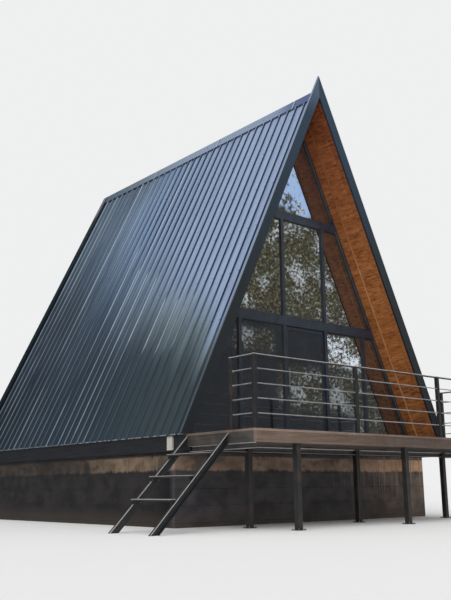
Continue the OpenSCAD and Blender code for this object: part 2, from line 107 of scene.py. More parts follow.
class Wire:
    """A value on its way through a finish: sums written with wires add the Math nodes they need."""

    def __init__(self, finish, socket):
        self.finish, self.socket = finish, socket

    def math(self, operation, other=0.0, first=0):
        values = {first: self, 1 - first: other}
        return self.finish.node("ShaderNodeMath", {"operation": operation}, values)

    def __add__(self, other):
        return self.math("ADD", other)

    __radd__ = __add__

    def __sub__(self, other):
        return self.math("SUBTRACT", other)

    def __rsub__(self, other):
        return self.math("SUBTRACT", other, 1)

    def __mul__(self, other):
        return self.math("MULTIPLY", other)

    __rmul__ = __mul__

    def __truediv__(self, other):
        return self.math("DIVIDE", other)

    def __abs__(self):
        return self.math("ABSOLUTE")

    def fraction(self):
        return self.math("FRACT")

    def whole(self):
        return self.math("FLOOR")

    def most(self, other):
        return self.math("MAXIMUM", other)

    def fade(self, low, high):
        """0 below low, 1 above high, and smooth between; low may be the larger one."""
        if low > high:
            return 1 - self.fade(high, low)
        return self.finish.node("ShaderNodeMapRange", {"interpolation_type": "SMOOTHSTEP"},
                                {0: self, 1: low, 2: high, 3: 0.0, 4: 1.0})

    def band(self, low, high, soft):
        """1 between low and high, 0 outside."""
        return self.fade(low - soft, low) * self.fade(high + soft, high)


def times(colour, by):
    return tuple(c * by for c in colour)


class Finish:
    """A procedural finish on one Principled surface."""

    def __init__(self, name, **constants):
        self.material = bpy.data.materials.new(name)
        self.material.use_nodes = True
        self.nodes, self.links = self.material.node_tree.nodes, self.material.node_tree.links
        self.surface = self.nodes["Principled BSDF"]
        for socket, value in constants.items():
            self.feed(self.surface.inputs[socket.replace("_", " ")], value)
        self.spot = self.node("ShaderNodeTexCoord", {}, {}, "Object")
        parts = self.node("ShaderNodeSeparateXYZ", {}, {0: self.spot}).socket.node.outputs
        self.x, self.y, self.z = (Wire(self, part) for part in parts)
        self.colour = None

    def feed(self, socket, value):
        if isinstance(value, Wire):
            self.links.new(value.socket, socket)
        elif isinstance(value, tuple) and socket.type == "RGBA":
            socket.default_value = (*value[:3], 1)
        else:
            socket.default_value = value

    def node(self, kind, settings, sockets, out=0):
        """Any node: its settings first, then the values or wires of its sockets."""
        made = self.nodes.new(kind)
        for name, value in settings.items():
            if name == "stops":
                ramp = made.color_ramp
                while len(ramp.elements) < len(value):
                    ramp.elements.new(0.5)
                for element, (place, colour) in zip(ramp.elements, value):
                    element.position, element.color = place, (*colour, 1)
            else:
                setattr(made, name, value)
        for name, value in sockets.items():
            self.feed(made.inputs[name], value)
        return Wire(self, made.outputs[out])

    def scaled(self, scale):
        return self.node("ShaderNodeVectorMath", {"operation": "MULTIPLY"}, {0: self.spot, 1: scale})

    def noise(self, scale, detail, rough=0.55, spot=None):
        """Noise from 0 to 1; scale is how many blots fit in a metre: one number, or three for x, y, z."""
        at = spot or self.scaled(scale if isinstance(scale, tuple) else (scale, scale, scale))
        return self.node("ShaderNodeTexNoise", {}, {"Vector": at, "Scale": 1.0, "Detail": detail,
                                                    "Roughness": rough})

    def chance(self, value):
        """One random number from 0 to 1 for each whole value."""
        return self.node("ShaderNodeTexWhiteNoise", {"noise_dimensions": "1D"}, {"W": value.whole()})

    def tone(self):
        """The number that each solid of a made piece carries: from 0 to 1, and more on a nose."""
        return self.node("ShaderNodeAttribute", {"attribute_name": "tone"}, {}, "Fac")

    def mix(self, share, low, high):
        return self.node("ShaderNodeMix", {"data_type": "RGBA"}, {0: share, 6: low, 7: high}, 2)

    def multiply(self, share, low, high):
        return self.node("ShaderNodeMix", {"data_type": "RGBA", "blend_type": "MULTIPLY"},
                         {0: share, 6: low, 7: high}, 2)

    def lay(self, share, over):
        """Another colour over the colour so far; tint multiplies it."""
        self.colour = self.mix(share, self.colour, over)

    def tint(self, share, by):
        self.colour = self.multiply(share, self.colour, by)

    def ramp(self, value, *stops):
        return self.node("ShaderNodeValToRGB", {"stops": stops}, {0: value})

    def board_grain(self, scale, offsets, finer, rough, pore_detail):
        """Tone, grain and pores; the grain is moved about from board to board by the board's tone."""
        tone = self.tone()
        moved = self.node("ShaderNodeCombineXYZ", {}, {i: tone * by for i, by in enumerate(offsets)})
        spot = self.node("ShaderNodeVectorMath", {"operation": "ADD"}, {0: self.scaled(scale), 1: moved})
        fine = self.node("ShaderNodeVectorMath", {"operation": "MULTIPLY"}, {0: spot, 1: finer})
        return tone, self.noise(None, 6, rough, spot), self.noise(None, pore_detail, 0.6, fine)

    def relief(self, height, distance, strength, under=None):
        sockets = {"Height": height, "Distance": distance, "Strength": strength}
        if under is not None:
            sockets["Normal"] = under
        return self.node("ShaderNodeBump", {}, sockets)

    def done(self, rough, normal=None, metal=None):
        for socket, value in (("Base Color", self.colour), ("Roughness", rough), ("Normal", normal),
                              ("Metallic", metal)):
            if value is not None:
                self.feed(self.surface.inputs[socket], value)
        return self.material


def roof_coating():
    """Dark slate coated steel with a painted sky reflection on its upper part, painted shade and painted
    glints on the ribs, and rain streaks and grime on the lower part.
    """
    f = Finish("roof_coating", IOR=1.45, Specular_IOR_Level=0.4)
    up = (f.z - FLOOR_Z) / RISE
    along = f.y - VERGE_Y
    broad = f.noise((0.35, 0.9, 0.25), 3)
    streaks = f.noise((2, 26, 0.5), 4)
    rib = (f.y - FIRST_RIB) / RIB_PITCH + 0.5
    phase = rib.fraction()
    sheet, each, pan = f.chance(rib / RIBS_PER_SHEET), f.chance(rib), f.chance(rib + 60.5)
    # sky is the share of a painted sky reflection: it rises up the slope from a ragged edge that climbs and
    # softens towards the back, and is weaker far back and near the top there.
    cloud = 0.12 * (broad - 0.5) + 0.08 * (streaks - 0.5) + 0.055 * (pan - 0.5)
    sky = ((up - 0.050 * along - 0.085 + cloud) / (0.21 + 0.075 * along)).fade(0.0, 1.0)
    sky = sky * (0.95 - 0.45 * f.y.fade(3.7, 5.8)) * (1 - 0.55 * up.fade(0.68, 0.97) * f.y.fade(3.0, 5.0))
    sky = sky + 0.05 * up.fade(0.12, 0.35)
    # The low colour is greener and paler at the front and darker far back.
    near = f.y.fade(3.4, 0.0)
    dull = streaks.fade(0.3, 0.75)
    low = f.mix(near, f.mix(dull, (0.014, 0.027, 0.043), (0.024, 0.042, 0.062)),
                f.mix(dull, (0.026, 0.043, 0.052), (0.039, 0.058, 0.070)))
    low = f.multiply(f.y.fade(4.4, 6.4), low, (0.62, 0.62, 0.64))
    # The colours of the painted sky reflection, dimmer at the front.
    high = f.mix(streaks.fade(0.25, 0.8), (0.275, 0.360, 0.530), (0.385, 0.490, 0.690))
    high = f.multiply(near * 0.6, high, (0.78, 0.78, 0.80))
    # Painted shade on the pan just behind each rib, weaker at the front and none far back.
    past_rib = (rib + 1 - CROWN[0]).fraction()
    shade_behind_rib = past_rib.fade(0.85, 0.40) * (0.10 + 0.90 * f.y.fade(0.4, 3.2)) * f.y.fade(6.2, 4.4)
    high = f.multiply(shade_behind_rib, high, (0.52, 0.55, 0.60))
    # The painted sky reflection is bluer towards the back.
    back = f.y.fade(2.0, 4.0)
    high = f.multiply(back, high, (0.86, 0.97, 1.0))
    # Each sheet and pan shows the painted sky reflection a little more or less.
    f.colour = f.mix(sky * (1.06 - 0.08 * sheet - (0.12 + 0.14 * back) * pan), low, high)
    # The painted sky reflection turns yellow-green along its lower edge, towards the front.
    onset = sky.fade(0.04, 0.20) * sky.fade(0.95, 0.30) * f.y.fade(3.6, 1.2)
    f.tint(onset, (0.98, 1.0, 0.82))
    # Painted highlights: pale streaks on some pans where the painted sky reflection shows, from about 1.8 m
    # back.
    sky_streak_highlight = phase.band(0.20, 0.33, 0.05) * f.chance(rib + 20.5).fade(0.35, 0.85) * f.y.fade(1.8, 3.4) * sky
    f.lay(sky_streak_highlight * 0.75, (0.43, 0.54, 0.70))
    # Painted shade: a dark navy line on the front web of each rib where the painted sky reflection shows,
    # fading out far back.
    web = sky * f.y.fade(5.9, 3.6)
    shadow = phase.band(WEB + 0.003, CROWN[0] - 0.003, 0.003) * web
    f.lay(shadow * 0.95, (0.009, 0.022, 0.055))
    # Painted glints: pale lines on the upper part of each rib's front web where the painted sky reflection is
    # absent, weaker at the front, and brighter flashes along the webs where that reflection begins.
    glint = phase.band(WEB + 0.024, CROWN[0] - 0.001, 0.003) * (1 - web) * (0.22 + 0.78 * each)
    glint = glint * f.y.fade(1.2, 3.0).most(0.12) * f.noise((1, 9, 0.6), 2).fade(0.26, 0.56)
    flash = sky.band(0.14, 0.62, 0.12) * each.fade(0.35, 0.75)
    flash_line = flash * phase.band(WEB + 0.018, CROWN[0], 0.003) * 0.85 * f.y.fade(0.2, 1.6)
    lit = f.mix(sky.fade(0.15, 0.5), (0.285, 0.335, 0.38), (0.46, 0.56, 0.64))
    f.lay(glint.most(flash_line), f.mix(flash, lit, (0.42, 0.51, 0.58)))
    grime = f.noise((5, 5, 7), 5).fade(0.58, 0.76) * (1 - 0.7 * sky)
    f.lay(grime * 0.22, (0.070, 0.076, 0.074))
    # A broken pale line along the eave: the cut ends of the sheets, painted as a highlight.
    cut = f.z.fade(FLOOR_Z + 0.026, FLOOR_Z + 0.014) * f.noise((3, 30, 3), 2).fade(0.35, 0.6)
    f.lay(cut * 0.8, (0.30, 0.33, 0.37))
    rough = 0.42 + 0.16 * streaks - 0.06 * sky
    bump = f.relief(f.noise((1.2, 3, 1.0), 2), 0.006, 0.25)
    return f.done(rough, f.relief(f.noise(900, 1), 0.0002, 0.15, bump))


def folded_trim(name, low, high, grime_colour, wear_and_highlight, edge_highlight=0.0, shine=0.4):
    """Coated folded sheet with dirt and pale specks of wear; paler higher up as a painted sky reflection,
    darker towards the back, with painted shade at the front apex, and either a painted highlight along its
    outer edge or, on the ridge, painted shade at its front end and laps drawn as a painted shadow line and a
    painted highlight line.
    """
    f = Finish(name, IOR=1.45, Specular_IOR_Level=shine)
    up = (f.z - FLOOR_Z) / RISE
    streaks = f.noise((6, 6, 1.2), 4)
    fine = f.noise((40, 40, 12), 3)
    # Paler higher up: a painted sky reflection, broken by streaks.
    f.colour = f.mix((up + 0.35 * (streaks - 0.5)).fade(0.30, 0.95), low, high)
    f.lay(fine.fade(0.58, 0.75) * 0.35, grime_colour)
    f.lay(f.noise(160, 2).fade(0.70, 0.76) * wear_and_highlight, (0.38, 0.40, 0.42))
    # Darker towards the back.
    f.tint(f.y.fade(2.6, VERGE_BACK_Y - 0.4), (0.31, 0.38, 0.38))
    # Painted shade at the front of the apex.
    apex_shade = up.fade(0.90, 1.0) * f.x.fade(0.02, -0.02) * f.y.fade(0.6, 0.0)
    f.lay(apex_shade * 0.7, (0.085, 0.120, 0.185))
    if edge_highlight:
        # Painted highlight along the outer edge of the sheet's top, stronger higher up.
        depth = (HALF_W - abs(f.x)) * SIN - (f.z - FLOOR_Z) * COS
        rim = depth.fade(0.006 - PROUD, 0.002 - PROUD) * (0.25 + 0.75 * up.fade(0.1, 0.5))
        f.lay(rim * edge_highlight, (0.26, 0.32, 0.42))
    else:
        # On the ridge: painted shade at its front end, a random tone for each cap piece, and at each lap a
        # painted shadow line and a painted highlight line.
        f.tint(f.y.fade(0.9, -0.4) * up.fade(0.9, 0.97), (0.44, 0.535, 0.91))
        length = (f.y - VERGE_Y - FIRST_CAP) / CAP_LENGTH
        lap, ridge = length.fraction(), up.fade(0.9, 0.92)
        f.tint(f.chance(length + 7.0) * 0.8 * ridge, (0.80, 0.83, 0.87))
        f.lay(lap.band(0.976, 0.986, 0.003) * ridge, (0.040, 0.055, 0.075))
        f.lay(lap.band(0.989, 1.0, 0.002) * ridge * 0.8, (0.44, 0.50, 0.57))
    return f.done(0.38 + 0.22 * streaks, f.relief(f.noise((3, 3, 1.5), 2), 0.004, 0.3))


def stained_boards():
    """Orange-brown stained softwood with grain along the boards, dark blots and knots; painted shade makes it
    darker and redder towards the top, and it is darker and greyer towards the eave.
    """
    f = Finish("stained_boards", IOR=1.45, Specular_IOR_Level=0.3)
    up = (f.z - FLOOR_Z) / RISE
    tone, grain, pores = f.board_grain((26, 2.6, 26), (37.0, 11.0, 23.0), (6.0, 3.0, 6.0), 0.62, 3)
    f.colour = f.ramp(grain, (0.25, (0.185, 0.055, 0.015)), (0.46, (0.410, 0.148, 0.043)),
                      (0.66, (0.560, 0.225, 0.070)), (0.85, (0.290, 0.096, 0.026)))
    f.tint(0.75, f.mix(tone, (0.60, 0.55, 0.52), (1.0, 1.0, 1.0)))
    f.lay(pores.fade(0.60, 0.75) * 0.5, (0.120, 0.036, 0.010))
    blots = f.noise((24, 6, 24), 4, 0.6).fade(0.50, 0.64) * f.noise(2.2, 3).fade(0.36, 0.62)
    f.lay(blots * 0.72, (0.105, 0.034, 0.012))
    knots = f.node("ShaderNodeTexVoronoi", {}, {"Vector": f.scaled((5, 3.4, 5)), "Scale": 1.0})
    f.lay(knots.fade(0.085, 0.05) * 0.85, (0.045, 0.014, 0.006))
    # Painted shade: darker and redder towards the top.
    f.tint(up.fade(0.36, 0.95) * 0.75, (0.55, 0.42, 0.55))
    # Darker and greyer towards the eave.
    f.tint(up.fade(0.30, 0.0) * 0.5, (0.55, 0.62, 0.85))
    bump = f.relief(grain, 0.0012, 0.5)
    return f.done(0.48 + 0.22 * pores, f.relief(pores, 0.0005, 0.5, bump))


def planed_wood(name, dark, pale, grain_along, rough, grey=0.0, shaded=None, nose_highlight=None):
    """Planed or sawn timber, each board in its own tone.

    shaded gives an axis, the stretch along it that darkens with painted shade, and the tint there. Boards
    whose tone is above 1 are noses, and nose_highlight says how much paler they are painted, as a painted
    highlight.
    """
    f = Finish(name, IOR=1.45, Specular_IOR_Level=0.3)
    scale = [30.0, 30.0, 30.0]
    scale["xyz".index(grain_along)] = 1.8
    tone, grain, pores = f.board_grain(tuple(scale), (31.0, 17.0, 43.0), (5.0, 5.0, 5.0), 0.6, 2)
    f.colour = f.mix(grain.fade(0.25, 0.75), dark, pale)
    f.tint(0.8, f.mix(tone, (0.72, 0.70, 0.68), (1.0, 1.0, 1.0)))
    f.lay(pores.fade(0.55, 0.75) * 0.45, times(dark, 0.45))
    weather = f.noise(3, 4).fade(0.45, 0.7)
    f.lay(weather * grey, (0.20, 0.185, 0.165))
    # Painted shade along one axis.
    if shaded:
        axis, start, end, tint = shaded
        f.tint({"x": f.x, "y": f.y, "z": f.z}[axis].fade(start, end), tint)
    # Noses painted paler: a painted highlight.
    if nose_highlight:
        f.tint(tone.fade(1.2, 1.4), nose_highlight)
    bump = f.relief(grain, 0.0012, 0.5)
    return f.done(rough + 0.18 * (pores - 0.5), f.relief(pores, 0.0004, 0.5, bump))


def powder_coat(name, colour, rough):
    """Powder coated or painted metal: fine orange peel, dust and wipe marks."""
    f = Finish(name, IOR=1.5)
    dust = f.noise((9, 9, 5), 5)
    wipe = f.noise((3, 3, 26), 3)
    f.colour = f.mix(dust.fade(0.35, 0.75), times(colour, 0.78), times(colour, 1.3))
    f.lay(wipe.fade(0.58, 0.78) * 0.25, (0.10, 0.098, 0.092))
    bump = f.relief(f.noise(420, 2), 0.0003, 0.3)
    return f.done(rough + 0.18 * (dust - 0.5), bump)


def worn_steel(name, colour, rust, highlight_zones=()):
    """Dark painted steel with rust blooms; highlight_zones lists painted highlights along edges as (how pale,
    lowest, highest).
    """
    f = Finish(name, IOR=1.5)
    blot = f.noise(7, 5)
    fine = f.noise(60, 4)
    f.colour = f.mix(blot.fade(0.3, 0.7), times(colour, 0.75), times(colour, 1.35))
    bloom = (blot * 0.6 + fine * 0.4).fade(0.53, 0.62)
    f.lay(bloom * rust, (0.115, 0.052, 0.024))
    # Painted highlights: a pale line between two heights, broken by noise.
    for pale, low, high in highlight_zones:
        edge = f.z.band(low, high, 0.0015) * fine.fade(0.30, 0.46)
        f.lay(edge * 0.9, (pale, pale * 0.95, pale * 0.90))
    rough = 0.42 + 0.30 * bloom + 0.12 * (fine - 0.5)
    return f.done(rough, f.relief(fine, 0.0006, 0.4))


def slanted_steel():
    """The stringers' dark paint, with a painted highlight of pale metal along their upper front edges."""
    low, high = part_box("stair_stringers")
    f = Finish("stringer_steel", IOR=1.5)
    fine = f.noise(60, 4)
    below = (f.x - low.x) * (high.z / (high.x - low.x)) - f.z
    at_edge = 0.0
    for part_low, part_high in part_extents("stair_stringers"):
        at_edge = f.y.band(part_low.y - 0.001, part_low.y + 0.008, 0.002).most(at_edge)
    f.colour = f.mix(f.noise(7, 5).fade(0.3, 0.7), (0.010, 0.011, 0.013), (0.019, 0.020, 0.022))
    # Painted highlight: pale metal along the upper front edge of each stringer.
    wear_and_highlight = below.fade(0.018, 0.010) * at_edge * (0.45 + 0.5 * fine.fade(0.3, 0.5))
    f.lay(wear_and_highlight, (0.44, 0.43, 0.43))
    return f.done(0.45 + 0.15 * (fine - 0.5), f.relief(fine, 0.0006, 0.4))


def raw_concrete():
    """Cast concrete: formwork joints, an ochre band above a ragged dark coat, drips and splash dirt; its
    front face is a lighter, lit copy with a painted patch of sunlight at the right end, and painted shade
    lies on the band in patches and on the concrete just behind the front face.
    """
    f = Finish("raw_concrete", IOR=1.45, Specular_IOR_Level=0.25)
    coarse = f.noise((3.2, 3.2, 4.5), 5)
    fine = f.noise(48, 4)
    drip = f.noise((16, 16, 0.9), 5)
    course = ((f.z - 0.06) / 0.25).fraction()
    joint = course.band(0.0, 0.02, 0.012)
    in_front = f.y.fade(0.05, -0.10)
    ragged = 0.10 * (coarse - 0.5) + 0.09 * (drip - 0.5)
    # A painted patch of sunlight at the right end of the front face.
    painted_sun_patch = f.x.fade(0.4, 2.9) * in_front
    some, more = coarse.fade(0.3, 0.7), coarse.fade(0.3, 0.72)
    # The front face is a lighter, lit copy of the same concrete, and lighter still in the patch of sunlight.
    dark = f.mix(some, (0.017, 0.016, 0.018), (0.034, 0.031, 0.032))
    dark = f.mix(in_front, dark, f.mix(some, (0.052, 0.049, 0.054), (0.092, 0.086, 0.090)))
    dark = f.mix(painted_sun_patch * 0.6, dark, f.mix(more, (0.150, 0.112, 0.090), (0.330, 0.235, 0.175)))
    ochre = f.mix(more, (0.110, 0.080, 0.054), (0.250, 0.180, 0.122))
    ochre = f.mix(in_front, ochre, f.mix(more, (0.195, 0.140, 0.106), (0.405, 0.280, 0.208)))
    ochre = f.mix(painted_sun_patch * 0.85, ochre, f.mix(more, (0.72, 0.400, 0.235), (0.98, 0.64, 0.41)))
    # The band fades out towards the back.
    reach = 1 - f.y.fade(1.2, 3.2) * 0.85
    band = (f.z + ragged).fade(0.815, 0.865) * (f.z + 0.5 * ragged).fade(1.075, 1.035) * reach
    # Painted shade: patches where the band is darker, none in the patch of sunlight.
    band_shade_patches = f.noise((1.5, 1.5, 2.4), 3).fade(0.56, 0.64)
    f.colour = f.mix(band * (1 - 0.7 * band_shade_patches * (1 - painted_sun_patch)), dark, ochre)
    runs = f.noise((22, 22, 0.7), 5).fade(0.50, 0.62) * f.z.fade(0.25, 0.75) * f.x.fade(0.0, 2.4) * in_front
    f.lay(runs * 0.80, (0.330, 0.255, 0.200))
    # Painted shade on the concrete just behind the front face.
    f.tint(f.y.fade(0.7, 0.1) * (1 - in_front), (0.55, 0.58, 0.62))
    f.lay(drip.fade(0.60, 0.70) * band * 0.6, (0.30, 0.25, 0.19))
    splash = (f.z + 0.18 * (coarse - 0.5)).fade(0.30, 0.02)
    f.lay(splash * 0.45, (0.085, 0.070, 0.054))
    f.lay(joint * 0.4, (0.018, 0.016, 0.015))
    f.tint(0.5, f.mix(fine, (0.55, 0.55, 0.55), (1.0, 1.0, 1.0)))
    pits = f.noise(90, 2).fade(0.66, 0.72)
    height = 0.5 * coarse + 0.5 * fine - 0.6 * pits - 0.8 * joint
    return f.done(0.82 + 0.12 * (fine - 0.5), f.relief(height, 0.006, 0.7))


def mirror_glass(name, see_through):
    """Dark reflecting panes, with patches of dust and slight waves."""
    f = Finish(name, IOR=2.3, Specular_IOR_Level=1.0, Specular_Tint=(0.80, 0.89, 1.0), Coat_Weight=1.0,
               Coat_IOR=2.6, Coat_Roughness=0.02, Alpha=1.0 - see_through)
    dust = f.noise((4, 4, 6), 4)
    f.colour = f.mix(dust.fade(0.3, 0.75), (0.006, 0.008, 0.012), (0.016, 0.019, 0.023))
    waves = f.relief(f.noise((0.9, 0.9, 0.7), 1), 0.010, 0.10)
    return f.done(0.015 + 0.035 * dust.fade(0.5, 0.8), waves)


def brushed_metal(name, colour):
    """Brushed or drawn bright metal, with handling marks."""
    f = Finish(name, IOR=1.5)
    brush = f.noise((420, 420, 6), 2)
    smear = f.noise((24, 24, 14), 4)
    f.colour = f.mix(brush, times(colour, 0.72), colour)
    f.lay(smear.fade(0.55, 0.75) * 0.3, times(colour, 0.5))
    return f.done(0.26 + 0.2 * smear, f.relief(brush, 0.0002, 0.3), 0.9)


def rubber_seal():
    f = Finish("rubber_seal", IOR=1.45)
    dust = f.noise(60, 3)
    f.colour = f.mix(dust.fade(0.3, 0.8), (0.012, 0.012, 0.013), (0.045, 0.044, 0.042))
    return f.done(0.72 + 0.1 * dust)


def faded_plastic():
    """Off-white plastic, yellowed, with grey-green algae at the top and rain marks."""
    f = Finish("faded_plastic", IOR=1.46)
    marks = f.noise((60, 60, 9), 4)
    blot = f.noise(30, 4)
    f.colour = f.mix(blot, (0.40, 0.39, 0.34), (0.58, 0.57, 0.52))
    f.lay(marks.fade(0.56, 0.72) * 0.5, (0.20, 0.19, 0.15))
    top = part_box("service_box_left")[1].z
    algae = (f.z + 0.02 * (blot - 0.5)).fade(top - 0.035, top - 0.010)
    f.lay(algae * 0.75, (0.14, 0.16, 0.12))
    return f.done(0.45 + 0.25 * blot, f.relief(f.noise(500, 2), 0.0002, 0.4))


# Shapes

def pairs(stops):
    """Each stop with the next one."""
    return zip(stops, stops[1:])


def chamfered(width, height, cut):
    """A rectangle round the middle with its four corners cut off."""
    a, b = width / 2, height / 2
    return [(-a + cut, -b), (a - cut, -b), (a, -b + cut), (a, b - cut),
            (a - cut, b), (-a + cut, b), (-a, b - cut), (-a, -b + cut)]


def round_outline(radius, sides):
    return [(radius * math.cos(2 * math.pi * i / sides), radius * math.sin(2 * math.pi * i / sides))
            for i in range(sides)]


class Shape:
    """Solids that become one piece; each keeps a tone, from 0 to 1 unless it is a nose."""

    def __init__(self):
        self.points, self.faces, self.tones = [], [], []

    def skin(self, rings, tone=None, loop=False):
        """Joins rings of equally many points; the ends are capped unless it runs round in a loop."""
        tone = dice.random() if tone is None else tone
        first, count = len(self.points), len(rings[0])
        for ring in rings:
            self.points.extend(ring)
        for i in range(len(rings) if loop else len(rings) - 1):
            a, b = first + i * count, first + (i + 1) % len(rings) * count
            self.faces += [(a + k, a + (k + 1) % count, b + (k + 1) % count, b + k) for k in range(count)]
        if not loop:
            last = first + (len(rings) - 1) * count
            self.faces += [tuple(first + k for k in reversed(range(count))),
                           tuple(last + k for k in range(count))]
        self.tones += [tone] * (len(self.faces) - len(self.tones))

    def run(self, start, end, across, up, outline, tone=None):
        """An outline carried from start to end; across and up are its two directions."""
        self.skin([[p + across * a + up * b for a, b in outline] for p in (Vector(start), Vector(end))], tone)

    def timber(self, low, high, axis, cut, tone=None):
        """A squared length between two corners, its long edges eased."""
        low, high = Vector(low), Vector(high)
        i = "xyz".index(axis)
        j, k = (i + 1) % 3, (i + 2) % 3
        middle, size = (low + high) / 2, high - low
        start, end = middle.copy(), middle.copy()
        start[i], end[i] = low[i], high[i]
        self.run(start, end, (X, Y, Z)[j], (X, Y, Z)[k], chamfered(size[j], size[k], cut), tone)

    def block(self, x, y, half, z0, z1, cut):
        """An upright square block round a middle."""
        self.timber((x - half, y - half, z0), (x + half, y + half, z1), "z", cut)

    def rod(self, start, end, radius, sides):
        start, end = Vector(start), Vector(end)
        way = (end - start).normalized()
        across = way.cross(Z if abs(way.z) < 0.9 else X).normalized()
        self.run(start, end, across, way.cross(across), round_outline(radius, sides))

    def lathe(self, foot, way, profile, sides):
        """Turned piece: profile lists (distance along the way, radius)."""
        foot, way = Vector(foot), Vector(way).normalized()
        across = way.cross(Z if abs(way.z) < 0.9 else X).normalized()
        other = way.cross(across)
        self.skin([[foot + way * d + across * a + other * b for a, b in round_outline(r, sides)]
                   for d, r in profile])

    def screw(self, foot, way, head, washer):
        """A hexagon head screw on its washer."""
        self.lathe(foot, way, [(-0.002, washer), (0.0015, washer), (0.0025, washer * 0.8)], 8)
        self.lathe(foot, way, [(0.002, head), (0.007, head), (0.0085, head * 0.7)], 6)

    def piece(self, name, slot, finish, *nodes, body="cabin"):
        mesh = bpy.data.meshes.new(name)
        mesh.from_pydata([tuple(p) for p in self.points], [], self.faces)
        mesh.attributes.new("tone", "FLOAT", "FACE").data.foreach_set("value", self.tones)
        turned = bmesh.new()
        turned.from_mesh(mesh)
        bmesh.ops.recalc_face_normals(turned, faces=turned.faces)
        turned.to_mesh(mesh)
        turned.free()
        mesh.polygons.foreach_set("use_smooth", [True] * len(self.faces))
        mesh.set_sharp_from_angle(angle=math.radians(34))
        mesh.materials.append(finish)
        made = bpy.data.objects.new(name, mesh)
        bpy.context.scene.collection.objects.link(made)
        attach(made, body)
        if nodes:
            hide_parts(*nodes)


def on_slope(side, up, y, depth):
    """A point on a slope: up it from the eave, back along it, and below its ribs, square to it."""
    return Vector((side * (HALF_W - up * COS - depth * SIN), y, FLOOR_Z + up * SIN - depth * COS))


def square_to(side):
    """The direction out of a slope."""
    return Vector((side * SIN, 0, COS))


def up_slope(side):
    return Vector((-side * COS, 0, SIN))


def trimmed(up, depth):
    """Keeps a place on the slope between the floor's level and the middle of the roof."""
    return min(max(up, depth * COS / SIN), (HALF_W - depth * SIN) / COS)


def slope_board(shape, side, low, high, stations, groove=0.005):
    """A board along the roof between two heights; stations list (y, upper depth, lower depth)."""
    rings = []
    for y, top, face in stations:
        outline = [(low, top), (high, top), (high, face - groove), (high - groove, face),
                   (low + groove, face), (low, face - groove)]
        rings.append([on_slope(side, trimmed(up, depth), y, depth) for up, depth in outline])
    top = stations[0][1]
    if trimmed(high, top) - trimmed(low, top) > 0.012:
        shape.skin(rings)


# Separate solids of the nodes

def loose_parts(node):
    """The points of each separate solid of a node."""
    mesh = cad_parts[node].data
    spots = {}
    member = []
    for v in mesh.vertices:
        member.append(spots.setdefault(tuple(round(c, 5) for c in v.co), len(spots)))
    parent = list(range(len(spots)))

    def top(i):
        while parent[i] != i:
            parent[i] = parent[parent[i]]
            i = parent[i]
        return i

    for edge in mesh.edges:
        a, b = (top(member[i]) for i in edge.vertices)
        parent[a] = b
    parts = {}
    for spot, i in spots.items():
        parts.setdefault(top(i), []).append(Vector(spot))
    in_order = sorted(parts.values(), key=lambda points: min(map(tuple, points)))
    return [sorted(points, key=tuple) for points in in_order]


def part_extents(node):
    """The lowest and highest corner of each separate solid of a node."""
    extents = []
    for points in loose_parts(node):
        columns = list(zip(*points))
        extents.append((Vector([min(c) for c in columns]), Vector([max(c) for c in columns])))
    return extents


# Finishes in use

ROOF = roof_coating()
# The front verges, with a painted highlight along their outer edge.
VERGE = folded_trim("verge_sheet", (0.017, 0.021, 0.024), (0.019, 0.038, 0.062), (0.036, 0.033, 0.031),
                    0.15, 0.8, 0.22)
BACK_VERGE = folded_trim("back_verge_sheet", (0.022, 0.036, 0.046), (0.030, 0.052, 0.074),
                         (0.030, 0.030, 0.030), 0.1)
CAP = folded_trim("ridge_sheet", (0.12, 0.15, 0.20), (0.225, 0.285, 0.395), (0.10, 0.10, 0.10), 0.2)
STAINED = stained_boards()
CASING_WOOD = planed_wood("casing_wood", (0.36, 0.135, 0.040), (0.52, 0.215, 0.070), "z", 0.50)
# The cover strip, with painted shade higher up, so it fades out there.
STRIP = planed_wood("cover_strip_wood", (0.46, 0.20, 0.080), (0.62, 0.31, 0.14), "z", 0.45, 0.0,
                    ("z", FLOOR_Z + 3.0, FLOOR_Z + 4.6, (0.55, 0.45, 0.42)))
FRAMES = powder_coat("frame_powder_coat", (0.019, 0.027, 0.041), 0.40)
BEADS = powder_coat("bead_coat", (0.020, 0.021, 0.024), 0.42)
PALE_BEAD = powder_coat("pale_bead_coat", (0.13, 0.115, 0.10), 0.45)
GLASS = mirror_glass("mirror_glass", 0.20)
BRIGHT = brushed_metal("brushed_steel", (0.20, 0.20, 0.205))
ZINC = brushed_metal("zinc_fixings", (0.34, 0.35, 0.37))
COATED_SCREWS = powder_coat("screw_coat", (0.055, 0.066, 0.085), 0.45)
SEAL = rubber_seal()
DECKING = planed_wood("decking_wood", (0.135, 0.105, 0.085), (0.235, 0.190, 0.155), "x", 0.62, 0.45)
# The front fascia: painted shade over most of its length, growing from the left end, and a painted highlight
# on the noses.
FASCIA = planed_wood("fascia_wood", (0.132, 0.088, 0.066), (0.215, 0.152, 0.116), "x", 0.60, 0.30,
                     ("x", -2.6, 0.6, (0.60, 0.60, 0.60)), (1.38, 1.42, 1.50))
# The side fascias: a darker, shaded copy of the front fascia's wood, with a stronger painted highlight on the
# noses.
SIDE_FASCIA = planed_wood("side_fascia_wood", (0.042, 0.037, 0.034), (0.074, 0.065, 0.060), "y", 0.60, 0.20,
                          None, (2.4, 2.0, 1.8))
JOIST_WOOD = planed_wood("joist_wood", (0.150, 0.130, 0.120), (0.235, 0.210, 0.195), "y", 0.75)
